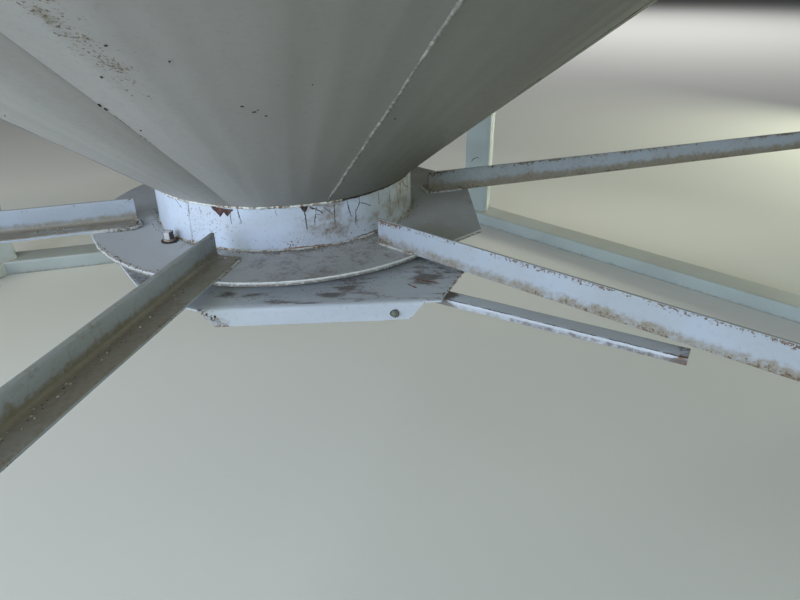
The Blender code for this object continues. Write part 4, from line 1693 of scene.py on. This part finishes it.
@dataclass
class GatePan(SubAssembly):
    """The pan under the plate with its folded lip, and the small angle arm."""

    turn_deg: float = -13.5
    radius: float = 0.2925
    front: float = -0.338
    front_left: float = -0.083
    front_right: float = 0.221
    left_corner: Pair = (0.339, -117.4)
    right_corner: Pair = (0.3615, -40.5)
    arc_deg: Pair = (-24.0, 212.0)
    lip_right: float = 0.199
    lip_height: float = 0.026
    lip_end_cut: float = 0.018
    bend: float = 0.0050
    blotches: tuple[tuple[float, float, float, float], ...] = (
        (0.004, -0.319, 0.016, 0.006), (0.024, -0.328, 0.020, 0.005), (0.052, -0.331, 0.014, 0.004),
        (-0.020, -0.306, 0.016, 0.006), (-0.055, -0.300, 0.012, 0.012), (0.079, -0.311, 0.016, 0.006),
        (0.105, -0.297, 0.012, 0.005))
    holes: tuple[Corner, ...] = (
        (-0.0639, 0.0107, 0.0042), (-0.0685, 0.0120, 0.0030), (-0.0740, 0.0072, 0.0034),
        (-0.0690, 0.0146, 0.0022))
    bolt: Pair = (0.1618, 0.0163)
    bolt_profile: tuple[Pair, ...] = (
        (0.0050, -0.0004), (0.0050, 0.0006), (0.0043, 0.0010), (0.0043, 0.0030), (0.0037, 0.0038),
        (0.0018, 0.0043), (0.0004, 0.0044))
    arm_azimuth_deg: float = -46.6
    arm_side: float = -0.1517
    arm_start: float = 0.100
    arm_end: float = 0.6606
    arm_width: float = 0.024
    arm_lip: float = 0.009
    arm_clear_of_plate: float = 0.372

    @property
    def arm_top(self) -> float:
        """Height of the arm's upper face."""
        return self.sizes.pan_top - self.sizes.sheet - self.sizes.gap

    def corners(self) -> Array:
        """Outline of the pan's sheet in its own frame, front edge held back to the bend."""
        line = self.front + self.bend
        left, right = (ring_point(*corner, 0.0)[:2] for corner in (self.left_corner, self.right_corner))
        arc = ring_point(self.radius, np.linspace(*self.arc_deg, 80), 0.0)[:, :2]
        return np.array([left, (self.front_left, self.front), (self.front_left, line), (self.lip_right, line),
                         (self.lip_right, self.front), (self.front_right, self.front), right, *arc])

    def sheet(self) -> None:
        """The pan's flat sheet, whole under the outlet."""
        s = self.sizes
        corners = self.corners()
        own = np.degrees(np.arctan2(corners[:7, 1], corners[:7, 0]))
        even, close = np.linspace(-180.0, 180.0, 361)[:-1], np.linspace(-66.0, -38.0, 113)
        azimuths = np.sort(np.concatenate([even, close, own, own - 0.1, own + 0.1]))
        torn = ease(-56.8, -55.5, azimuths) * (1.0 - ease(-43.0, -39.0, azimuths))
        ragged = 0.0012 * drift(91, azimuths / 1.6) + 0.0008 * drift(92, azimuths / 0.5) - 0.0006
        reach = edge_radius(corners, azimuths) + torn * ragged
        face = FlatFace(s.pan_top, self.turn_deg)

        def row(share: float, inset: float, drop: float) -> Array:
            """One row of points towards the edge."""
            x, y, _ = ring_point((reach - inset) * share, azimuths, 0.0).T
            return face.point(x, y, 0.0006 * drift(93, x * 9, y * 9) * (1.0 - share) - drop)

        shares = np.array([0.02, 0.2, 0.4, 0.6, 0.66, 0.72, 0.77, 0.82, 0.87, 0.91, 0.94, 0.97, 0.985, 1.0])
        rows = [row(share, 0.0006, 0.0) for share in shares]
        rows += [row(1.0, 0.0001, 0.0003), row(1.0, 0.0, 0.0008), row(1.0, 0.0, s.sheet - 0.0006),
                 row(1.0, 0.0005, s.sheet), row(0.6, 0.0, s.sheet), row(0.02, 0.0, s.sheet)]
        points = np.array(rows)
        edge = np.concatenate([1.0 - np.minimum(1.0, (1.0 - shares) / 0.05), [1.0] * 4, [0.0] * 2])[:, None]
        top = np.array([1.0] * len(shares) + [0.6] + [0.0] * 5)[:, None]
        turn = np.broadcast_to(azimuths, points.shape[:2])
        radius = np.hypot(points[..., 0], points[..., 1])
        x, y, _ = np.moveaxis(ring_point(radius, turn, 0.0), -1, 0)
        beyond = 0.16 * (1.0 - ease(0.0, 0.03, radius - self.radius))
        spot = bump_at(turn, -53.2, 3.2) * bump_at(radius, 0.345, 0.016)
        runs = drift(95, x * 9.0, y * 45.0)
        blotches = sum(bump_at(x, at, long) * bump_at(y, side, wide)
                       for at, side, long, wide in self.blotches)
        ring = bump_at(radius, 0.305, 0.012)
        stain = top * (0.55 * spot + 0.24 + 0.30 * runs + 0.16 * ring + 0.52 * blotches)
        grime = top * (0.04 + 0.12 * drift(94, turn / 12.0, radius * 30.0) + beyond)
        Skin().bar(points, wear=(0.14 + 0.55 * torn) * edge + 0.05 * top, grime=grime, stain=stain).give(
            "gate_pan_sheet", PAN_PAINT, Slot.PAN, "gate_pan")

    def lip(self) -> None:
        """The lip folded down along the front edge."""
        s, front = self.sizes, self.front
        arcs = np.radians(np.linspace(0.0, 90.0, 7))
        depths = np.linspace(self.bend, self.lip_height, 8)[1:-1]
        line, inner, toe = front + self.bend, front + s.sheet, -self.lip_height

        def fold(radius: float) -> list[Pair]:
            """Quarter turn from the sheet into the lip."""
            return [(line - radius * math.sin(a), radius * math.cos(a) - self.bend) for a in arcs]

        outside = fold(self.bend) + [(front, -depth) for depth in depths]
        outside += [(front, toe + 0.0006), (front + 0.0006, toe)]
        inside = fold(self.bend - s.sheet) + [(inner, -depth) for depth in depths] + [(inner, toe + 0.0004)]
        profile = np.array(outside + inside[::-1])
        depth = np.maximum(0.0, -profile[:, 1] - s.sheet)
        cut = depth / (self.lip_height - s.sheet) * self.lip_end_cut
        left, right = self.front_left + cut, self.lip_right - cut
        x = left + (right - left) * np.linspace(0.0, 1.0, 90)[:, None]
        wave = 0.0007 * drift(96, x * 14.0, depth[None, :] * 60.0) * ease(0.004, 0.02, depth)
        bent = 1.0 - ease(0.004, 0.010, depth)
        ends = 1.0 - ease(0.004, 0.050, x - left)
        tip = 1.0 - ease(0.0, 0.006, right - x)
        wear = 0.30 * ease(0.017, 0.023, depth) + 0.50 * ends + 0.16 * bent + 0.25 * tip
        loops = turned(x, profile[:, 0] + wave, s.pan_top + profile[:, 1], self.turn_deg)
        Skin().bar(loops, wear=wear, stain=0.12 + 0.46 * ends, grime=0.20 * bent).give(
            "gate_pan_lip", PAN_PAINT, Slot.PAN, sharp_deg=35.0)

    def arm(self) -> None:
        """The small angle bar under the pan."""
        front, back, t = self.arm_side, self.arm_side + self.arm_width, self.sizes.sheet
        section = densified(rounded([
            (front, -self.arm_lip, 0.0008), (front + t, -self.arm_lip, 0.0008), (front + t, -t, 0.0008),
            (back, -t, 0.0008), (back, 0.0, 0.0008), (front, 0.0, 0.0011)], 3), 0.005)
        side, height = section.T[:, None]
        distances = np.linspace(self.arm_start, self.arm_end, 110)[:, None]
        ragged = 0.0012 * drift(90, side * 160.0, height * 160.0)
        run = distances - np.abs(ragged * ease(self.arm_end - 0.01, self.arm_end, distances))
        sway = 0.0005 * drift(97, distances * 7.0)
        sag = 0.0004 * np.abs(drift(98, distances * 5.0))
        loops = turned(run, side + sway, self.arm_top + height - sag, self.arm_azimuth_deg)
        top, under = (height > -0.0012).astype(float), (height < -0.0012).astype(float)
        fold = near_points(section, [(front, 0.0)], 0.004)
        toe = near_points(section, [(back, 0.0), (back, -t), (front, -self.arm_lip)], 0.003)
        end = ease(self.arm_end - 0.022, self.arm_end - 0.004, distances)
        # Painted shadow: the top darkens where the arm comes out from under the pan, through grime and stain.
        start = 1.0 - ease(self.arm_clear_of_plate - 0.004, self.arm_clear_of_plate + 0.020, distances)
        wear = 0.42 * fold * (0.7 + 0.6 * drift(99, distances * 22.0)) + 0.22 * toe + 0.48 * end
        grime = 0.10 * top + 0.75 * top * start + 0.30 * end + 0.44 * under
        stain = 0.14 * top + under * (0.42 + 0.25 * ease(0.45, 0.65, distances)) + 0.6 * start + 0.5 * end
        # Painted shade: the faces below the top are darker through grime, stain and the shading mask.
        Skin().bar(loops, wear=wear, grime=grime, stain=stain, tint=0.16 * under).give(
            "gate_arm_bar", PAN_PAINT, Slot.PAN, "gate_arm")

    def lip_marks(self) -> None:
        """Holes, the bolt and the dark ring round it on the lip."""
        lip = UprightFace(self.front, self.sizes.pan_top, self.turn_deg)
        # The holes are dark specks: painted shade where the lip is rusted through.
        holes = Marks(lip, 111)
        for x, depth, size in self.holes:
            holes.speck(x, depth, size, 1.1)
        holes.give("pan_lip_holes", CRACK, Slot.PAN)
        at, down = self.bolt
        centre = lip.point(at, down, 0.0)
        out = lip.point(at, down, 1.0) - centre
        up = np.array([0.0, 0.0, 1.0])
        turns = np.linspace(0.0, math.tau, 24, endpoint=False)[:, None]
        circle = np.cos(turns) * np.cross(out, up) + np.sin(turns) * up
        rows = [centre + out * height + circle * radius for radius, height in self.bolt_profile]
        Skin().bar(np.array(rows)).give("pan_lip_bolt", BOLT_GREEN, Slot.PAN, sharp_deg=35.0)
        ring = Marks(lip, 119)
        ring.ribbon([(at + 0.0055 * math.cos(a), down + 0.0055 * math.sin(a))
                     for a in np.linspace(0.0, math.tau, 25)], 0.0016, 0.0004)
        ring.give("pan_bolt_ring", CRACK, Slot.PAN)

    def rust(self) -> None:
        """Rust on the pan's edge and the dark line along the arm's fold."""
        rng = np.random.default_rng(113)
        specks = Marks(FlatFace(self.sizes.pan_top, self.turn_deg), 115)
        for _ in range(120):
            turn = math.radians(rng.uniform(-118.0, -30.0))
            distance = rng.uniform(0.295, 0.325)
            specks.speck(distance * math.cos(turn), distance * math.sin(turn), rng.uniform(0.0007, 0.0022),
                         rng.uniform(0.6, 1.5), 0.00014)
        specks.ribbon([(0.1933, -0.2738), (0.208, -0.281), (0.2256, -0.2887)], 0.0034)
        specks.ribbon([(0.1812, -0.2879), (0.187, -0.294), (0.1935, -0.3008)], 0.0028)
        specks.give("pan_rust_specks", RUST, Slot.PAN)
        fold = Marks(FlatFace(self.arm_top, self.arm_azimuth_deg), 117)
        at, line = self.arm_clear_of_plate, self.arm_side + 0.0012
        while at < self.arm_end - 0.006:
            last = min(at + rng.uniform(0.006, 0.050), self.arm_end - 0.001)
            fold.ribbon([(at, line), (last, line)], rng.uniform(0.0007, 0.0018), 0.0003, 0.6)
            at = last + rng.uniform(0.001, 0.012)
        fold.give("gate_arm_fold_line", CRACK, Slot.PAN)

    def build(self) -> None:
        """Builds and dresses the pan and its arm."""
        self.sheet()
        self.lip()
        self.arm()
        self.lip_marks()
        self.rust()


# Braces

@dataclass
class BraceSpider(SubAssembly):
    """Six angle braces from the plate to the legs, with their welds and dirt."""

    leg: float = 0.038
    thickness: float = 0.005
    root: float = 0.005
    toe: float = 0.0022
    start: float = 0.2415
    weld_reach: float = 0.3085
    stations: int = 150
    crusted: int = 3
    crust: tuple[Pair, ...] = ((0.004, 0.007), (-0.003, 0.011), (-0.0065, 0.020), (-0.0055, 0.030),
                               (-0.001, 0.0375), (0.010, 0.0400), (0.030, 0.0402), (0.060, 0.0398))

    def place(self, bay: Bay, distance: Number, side: Number, height: Number) -> Array:
        """Points in a brace's own coordinates.

        Args:
            bay: The brace's bay.
            distance: Distance from the axis along the brace.
            side: Distance from the axis to the left.
            height: Height above the brace's underside.

        Returns:
            The points.
        """
        return turned(distance, side, self.sizes.plate_top + self.sizes.gap + height, bay.brace_deg)

    def far(self, bay: Bay, side: Number) -> Number:
        """Distance at which the brace meets its leg."""
        skew = math.radians(bay.skew_deg)
        return (self.sizes.leg_inner_face - self.sizes.gap + side * math.sin(skew)) / math.cos(skew)

    def bar(self, bay: Bay) -> None:
        """Builds one brace.

        Args:
            bay: Its bay.
        """
        heel, t, w = bay.heel, self.thickness, self.leg
        section = densified(rounded([
            (heel, 0.0, 0.0010), (heel + w, 0.0, 0.0006), (heel + w, t, self.toe), (heel + t, t, self.root),
            (heel + t, w, self.toe), (heel, w, 0.0006)], 4), 0.0045)
        side, height = section.T[:, None]
        share = (np.linspace(0.0, 1.0, self.stations) ** 1.25)[:, None]
        distance = self.start + (self.far(bay, side) - self.start) * share
        loose = ease(0.0, 0.08, share) * (1.0 - ease(0.94, 1.0, share))
        key = 400 + 10 * bay.number
        bow = 0.0011 * drift(key, share * 2.0, waves=3) * loose
        lean = 0.0008 * drift(key + 1, share * 5.0) * loose * height / w
        sag = -0.0006 * np.abs(drift(key + 2, share * 3.0)) * loose * (side - heel) / w
        top_edge = near_points(section, [(heel, w), (heel + t, w)], 0.014)
        top_edge = top_edge * (1.0 - 0.8 * (height > w - 0.0004)) * (1.0 - 0.62 * (side > heel + t * 0.6))
        toe_edge = near_points(section, [(heel + w, 0.0), (heel + w, t)], 0.009)
        heel_edge = near_points(section, [(heel, 0.0)], 0.019)
        root = near_points(section, [(heel + t, t)], 0.018)
        floor = ((height > t * 0.6) & (height < t + 0.003) & (side > heel + t)).astype(float)
        patchy = 0.84 + 0.42 * drift(key + 3, distance * 9.0)
        worn_heel = heel_edge * (0.74 + 0.5 * drift(key + 4, distance * 8.0))
        ends = np.exp(-share * 45.0) + np.exp(-(1.0 - share) * 45.0)
        settled = 0.58 + 0.30 * drift(key + 5, distance * 7.0, side * 60.0)
        soaked = 0.48 + 0.40 * drift(key + 6, distance * 11.0)
        Skin().bar(
            self.place(bay, distance, side + bow + lean, height + sag),
            wear=(0.74 * top_edge + 0.40 * toe_edge) * patchy + 0.66 * worn_heel + 0.30 * ends,
            grime=0.72 * root + floor * settled + 0.2 * ends + bay.soil,
            stain=floor * soaked + 0.36 * root + 0.33 * worn_heel + 0.8 * bay.soil,
        ).give(f"brace_{bay.number}_bar", BRACE_PAINT, Slot.BRACE, f"brace_{bay.number}")

    def welds(self) -> None:
        """Fillet welds on the plate and on the legs, and the crusts on the ends."""
        near, far, ends = [], [], []
        base, crust_height = 0.0003, 0.0022
        bulge = self.start - 0.0022 * np.sin(np.linspace(0.0, math.pi, 14))
        for bay in BAYS:
            heel, back = bay.heel, bay.heel + self.leg
            for first, side, aside in ((0.004, heel, heel - 0.0006), (0.001, back, back + 0.0004)):
                reach = math.sqrt(max(self.weld_reach**2 - side**2, 0.01))
                near.append(self.place(bay, np.linspace(self.start + first, reach, 18), aside, base))
            across = np.linspace(heel + 0.001, back - 0.001, 10)
            near.append(self.place(bay, self.start - 0.0004, across, base))
            side = np.linspace(heel, back, 10)
            far.append(self.place(bay, self.far(bay, side) - 0.001, side, self.thickness))
            tall = np.linspace(0.0, self.leg, 10)
            far.append(self.place(bay, self.far(bay, heel) - 0.001, heel - 0.0005, tall))
            ends.append(self.place(bay, bulge, np.linspace(heel + 0.003, back - 0.001, 14), crust_height))
        del ends[self.crusted]
        bay, count = BAYS[self.crusted], len(self.crust)
        at = np.linspace(0.0, count - 1.0, 60)
        along, aside = (np.interp(at, np.arange(count), column) for column in np.array(self.crust).T)
        heavy = [self.place(bay, self.start + along, bay.heel + aside, crust_height)]
        beads, slot = self.grower.beads, Slot.BRACE
        beads("brace_plate_welds", GREY_WELD, slot, near, 0.0022, 0.0020, 0.8, 0.0020, 200.0, 31)
        beads("brace_end_crust", GREY_WELD, slot, ends, 0.0030, 0.0018, 0.8, 0.0030, 190.0, 35)
        beads("brace_4_end_crust", END_WELD, slot, heavy, 0.0034, 0.0018, 0.7, 0.0030, 170.0, 36)
        beads("brace_leg_welds", GREY_WELD, slot, far, 0.0034, 0.0045, 0.5, 0.0018, 160.0, 32, 7)

    def dirt(self) -> None:
        """Crumbs of dirt in the corners of the braces."""
        distance = np.linspace(self.start + 0.004, 0.95, 60)[None, :]
        sides = np.linspace(0.0075, 0.021, 3)[:, None]
        patches = [self.place(bay, distance, bay.heel + sides, self.thickness + 0.0003) for bay in BAYS]
        self.grower.crumbs("brace_dirt_crumbs", DIRT, Slot.BRACE, patches, 7000.0, 0.0012, 33)
        self.grower.crumbs("brace_pale_crumbs", PALE_CRUMB, Slot.BRACE, patches, 3600.0, 0.0021, 34)

    def build(self) -> None:
        """Builds and dresses the braces."""
        for bay in BAYS:
            self.bar(bay)
        self.welds()
        self.dirt()


# Legs and base

@dataclass
class Undercarriage(SubAssembly):
    """Six square legs and the flat ring of base beams that they stand on."""

    leg_wall: float = 0.005
    leg_round: float = 0.010
    beam_wall: float = 0.004
    beam_round: float = 0.006
    dark_arc_bay: int = 1

    @property
    def half(self) -> float:
        """Half a leg's width."""
        return self.sizes.leg_width / 2

    def leg(self, bay: Bay) -> None:
        """Builds one leg.

        Args:
            bay: Its bay.
        """
        s, half, hollow = self.sizes, self.half, self.half - self.leg_wall
        outline = square_outline(half, half, self.leg_round, 5, 0.016)
        low, high = s.beam_height + s.gap, s.rim_bottom - s.gap
        heights = np.concatenate([[low], np.linspace(low + 0.01, high - 0.01, 60), [high]])[:, None]

        def loops(shape: Array) -> Array:
            """Loops of the tube at every height."""
            out, side = shape.T[:, None]
            belly = 0.0005 * drift(500 + bay.number, heights * 1.6, side * 20.0)
            return turned(s.leg_radius + out + belly * np.sign(out), side, heights, bay.leg_deg)

        corner = near_points(outline, [(x, y) for x in (-half, half) for y in (-half, half)], 0.016)
        foot = 1.0 - ease(0.06, 0.22, heights)
        wear = 0.10 * corner + 0.42 * foot + 0.18 * (1.0 - ease(0.0, 0.05, high - heights))
        inside = loops(square_outline(hollow, hollow, self.leg_round - 0.004, 5, 0.016))
        Skin().tube(loops(outline), inside, wear=wear, grime=0.35 * foot).give(
            f"leg_{bay.number}_tube", LEG_PAINT, Slot.LEG, f"leg_{bay.number}")

    def beam(self, before: Bay, bay: Bay, after: Bay, beyond: Bay) -> None:
        """Builds one mitred base beam.

        Args:
            before: Bay before the one that it starts at.
            bay: Bay that it starts at.
            after: Bay that it runs to.
            beyond: Bay after that one.
        """
        s = self.sizes
        spots = [ring_point(s.leg_radius, b.leg_deg, 0.0)[:2] for b in (before, bay, after, beyond)]
        ways = [(b - a) / np.linalg.norm(b - a) for a, b in zip(spots, spots[1:])]

        def mitre(first: Array, second: Array) -> Array:
            """Offset to the corner of a joint for one unit to the left."""
            sides = np.array([-first[1], first[0]]) + np.array([-second[1], second[0]])
            return sides / (1.0 + float(first @ second))

        starts, ends = mitre(ways[0], ways[1]), mitre(ways[1], ways[2])
        hold = ways[1] * s.gap / 2
        tall = s.beam_height / 2
        share = np.linspace(0.0, 1.0, 70)[:, None]

        def loops(inset: float, radius: float) -> Array:
            """Loops of the tube from mitre to mitre."""
            side, height = square_outline(self.half - inset, tall - inset, radius, 4, 0.02).T[:, None]
            first = spots[1] + hold + side[..., None] * starts
            last = spots[2] - hold + side[..., None] * ends
            plan = first + (last - first) * share[..., None]
            dent = 0.0006 * drift(520 + bay.number, share * 9.0, side * 20.0) * (height > 0)
            return np.concatenate([plan, (tall + height + dent)[..., None]], axis=-1)

        outer = loops(0.0, self.beam_round)
        low = 1.0 - ease(0.0, 0.03, outer[..., 2])
        inside = loops(self.beam_wall, self.beam_round - 0.003)
        Skin().tube(outer, inside, wear=0.30 * low + 0.06, grime=0.5 * low + 0.05).give(
            f"base_beam_{bay.number}_tube", LEG_PAINT, Slot.LEG, f"base_beam_{bay.number}")

    def welds(self) -> None:
        """Welds round the legs' feet and heads, and a dark curved mark on the leg behind the outlet."""
        s = self.sizes
        out, side = square_outline(self.half, self.half, 0.01, 4, 0.02).T
        feet, heads = ([turned(s.leg_radius + out, side, height, bay.leg_deg) for bay in BAYS]
                       for height in (s.beam_height + 0.001, s.rim_bottom - 0.001))
        beads, slot = self.grower.beads, Slot.LEG
        beads("leg_foot_welds", GREY_WELD, slot, feet, 0.0034, 0.007, 0.5, 0.0018, 120.0, 41, 7, True)
        # A dark curved mark on the face of the leg behind the outlet.
        dark_arc = Marks(UprightFace(s.leg_inner_face, 0.0, BAYS[self.dark_arc_bay].leg_deg - 90.0), 131)
        dark_arc.ribbon([(-0.0315, -0.315), (-0.022, -0.328), (-0.0125, -0.3363), (-0.002, -0.339),
                       (0.0074, -0.3376)], 0.0040)
        dark_arc.give("leg_dark_arc", CRACK, slot)
        beads("leg_head_welds", GREY_WELD, slot, heads, 0.0030, 0.007, 0.5, 0.0018, 120.0, 42, 7, True)

    def build(self) -> None:
        """Builds and dresses the legs and beams."""
        for bay in BAYS:
            self.leg(bay)
        for k in range(len(BAYS)):
            self.beam(*(BAYS[(k + step) % len(BAYS)] for step in (-1, 0, 1, 2)))
        self.welds()


# Rim ring

@dataclass
class RimRing(SubAssembly):
    """Six segments of rolled channel at the top of the cone."""

    segments: int = 6
    first_deg: float = -1.0
    flange: float = 0.050
    web: float = 0.006
    flange_thickness: float = 0.008

    def segment(self, number: int) -> None:
        """Builds one segment of the ring.

        Args:
            number: Its number, from 1.
        """
        s, t = self.sizes, self.flange_thickness
        low, high = s.rim_bottom, s.rim_bottom + s.rim_height
        near, far, web = s.rim_radius, s.rim_radius + self.flange, s.rim_radius + self.web
        section = densified(rounded([
            (near, low, 0.002), (far, low, 0.001), (far, low + t, 0.003), (web, low + t, 0.006),
            (web, high - t, 0.006), (far, high - t, 0.003), (far, high, 0.001), (near, high, 0.002)],
            3), 0.02)
        radius, height = section.T[:, None]
        span = 360.0 / self.segments
        start = self.first_deg + span * (number - 1)
        hold = math.degrees(s.gap / 2 / near)
        azimuths = np.linspace(start + hold, start + span - hold, 90)[:, None]
        on_web = (radius < web + 0.001) * (radius > near + 0.0005)
        swell = 0.0008 * drift(600 + number, azimuths / 9.0, height * 8.0) * on_web
        toes = near_points(section, [(far, low), (far, high)], 0.012)
        root = near_points(section, [(web, low + t)], 0.02)
        ends = np.exp(-(azimuths - azimuths[0]) * 3.0) + np.exp(-(azimuths[-1] - azimuths) * 3.0)
        Skin().bar(
            ring_point(radius + swell, azimuths, height),
            wear=0.22 * toes + 0.3 * ends + 0.1 * root,
            grime=0.5 * root + 0.1 * ends,
        ).give(f"rim_ring_{number}_channel", RIM_PAINT, Slot.RIM, f"rim_ring_{number}", sharp_deg=35.0)

    def build(self) -> None:
        """Builds and dresses the ring."""
        s = self.sizes
        for number in range(1, self.segments + 1):
            self.segment(number)
        azimuths = np.linspace(-180.0, 180.0, 240, endpoint=False)
        inner = [ring_point(s.rim_radius - 0.002, azimuths, s.cone_height(s.rim_radius) + 0.003)]
        self.grower.beads(
            "rim_cone_weld", GREY_WELD, Slot.RIM, inner, 0.0040, 0.012, 0.5, 0.0015, 90.0, 51, 7, True)


# Studio

@dataclass(frozen=True)
class Lamp:
    """A soft area light that looks at the axis, at a point, or straight down.

    Its aim is a height on the axis, or a point, or None for straight down.
    """

    name: str
    azimuth_deg: float
    distance: float
    height: float
    aim: Corner | float | None
    size: Pair
    watts: float
    colour: Colour
    spread_deg: float = 180.0

    def build(self) -> None:
        """Makes the light and puts it in the scene."""
        light = bpy.data.lights.new(self.name, "AREA")
        light.shape = "RECTANGLE"
        light.size, light.size_y = self.size
        light.spread = math.radians(self.spread_deg)
        light.energy = self.watts
        light.color = self.colour
        lamp = bpy.data.objects.new(self.name, light)
        spot = Vector(ring_point(self.distance, self.azimuth_deg, self.height).tolist())
        lamp.location = spot
        if self.aim is not None:
            target = Vector(self.aim if isinstance(self.aim, tuple) else (0.0, 0.0, self.aim))
            lamp.rotation_euler = (target - spot).to_track_quat("-Z", "Y").to_euler()
        bpy.context.scene.collection.objects.link(lamp)


@dataclass
class Studio:
    """Floor, soft cool light from the left, light off the ground there, weaker fill, sky and camera."""

    floor_half: float = 60.0
    sky_colour: Colour = (0.93, 0.97, 1.0)
    sky_strength: float = 0.058
    camera_place: Corner = (-0.1169, -1.0197, 1.1520)
    camera_turn_deg: Corner = (61.8471, 0.4709, -17.4520)
    lens: float = 27.56
    sensor: float = 36.0
    lamps: tuple[Lamp, ...] = (
        Lamp("key_left", 192.0, 5.2, 0.95, 1.0, (8.0, 1.5), 145.0, (0.60, 0.86, 1.0)),
        Lamp("sky_front", 254.0, 5.2, 3.5, 0.8, (6.0, 1.2), 130.0, (0.85, 0.98, 0.85)),
        Lamp("sky_left", 222.0, 5.0, 2.4, 0.85, (3.0, 1.0), 158.0, (0.57, 0.66, 0.96)),
        Lamp("ground_far", 190.0, 6.4, 1.8, None, (6.0, 6.0), 375.0, (1.0, 0.89, 0.58)),
        Lamp("fill_right", 330.0, 6.5, 1.2, 0.9, (5.0, 2.0), 12.0, (0.90, 1.0, 0.60)),
        Lamp("rim_back", 15.0, 6.0, 1.3, 1.0, (2.5, 1.2), 115.0, (0.95, 1.0, 0.75)),
        Lamp("top_soft", 80.0, 0.6, 8.0, None, (6.0, 6.0), 50.0, (1.0, 1.0, 0.98)),
        Lamp("top_inside", 0.0, 0.02, 6.2, None, (1.2, 1.2), 40.0, (1.0, 1.0, 0.98), 56.0),
        Lamp("leg_side", 8.0, 4.2, 1.2, (1.19, 1.77, 0.75), (0.6, 0.6), 7.0, (1.0, 1.0, 0.80), 50.0),
        Lamp("floor_far", 50.0, 15.0, 8.0, None, (12.0, 12.0), 600.0, (1.0, 1.0, 0.97), 120.0))

    def floor(self) -> None:
        """Pale floor."""
        h = self.floor_half
        mesh = bpy.data.meshes.new("studio_floor")
        mesh.from_pydata([(-h, -h, 0.0), (h, -h, 0.0), (h, h, 0.0), (-h, h, 0.0)], [], [(0, 1, 2, 3)])
        mesh.materials.append(StudioFloor().material())
        floor = bpy.data.objects.new("studio_floor", mesh)
        bpy.context.scene.collection.objects.link(floor)

    def sky(self) -> None:
        """Weak even light from all round."""
        world = bpy.data.worlds.new("studio_sky")
        world.use_nodes = True
        sky = world.node_tree.nodes["Background"]
        sky.inputs["Color"].default_value = (*self.sky_colour, 1.0)
        sky.inputs["Strength"].default_value = self.sky_strength
        bpy.context.scene.world = world

    def camera(self) -> None:
        """Camera at the photograph's view."""
        data = bpy.data.cameras.new("view_camera")
        data.lens = self.lens
        data.sensor_width = self.sensor
        data.clip_start, data.clip_end = 0.02, 300.0
        camera = bpy.data.objects.new("view_camera", data)
        camera.location = self.camera_place
        camera.rotation_euler = [math.radians(a) for a in self.camera_turn_deg]
        bpy.context.scene.collection.objects.link(camera)
        bpy.context.scene.camera = camera
        bpy.context.scene.view_settings.view_transform = "Standard"

    def build(self) -> None:
        """Sets up the studio."""
        self.floor()
        self.sky()
        for lamp in self.lamps:
            lamp.build()
        self.camera()


def main() -> None:
    """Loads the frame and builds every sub-assembly in order."""
    logging.basicConfig(level=logging.INFO, format="%(name)s %(message)s")
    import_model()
    grower = Grower()
    for kind in (HopperCone, OutletCollar, FlangePlate, GatePan, BraceSpider, Undercarriage, RimRing):
        kind(SIZES, grower).build()
    Studio().build()


if __name__ == "__main__":
    main()
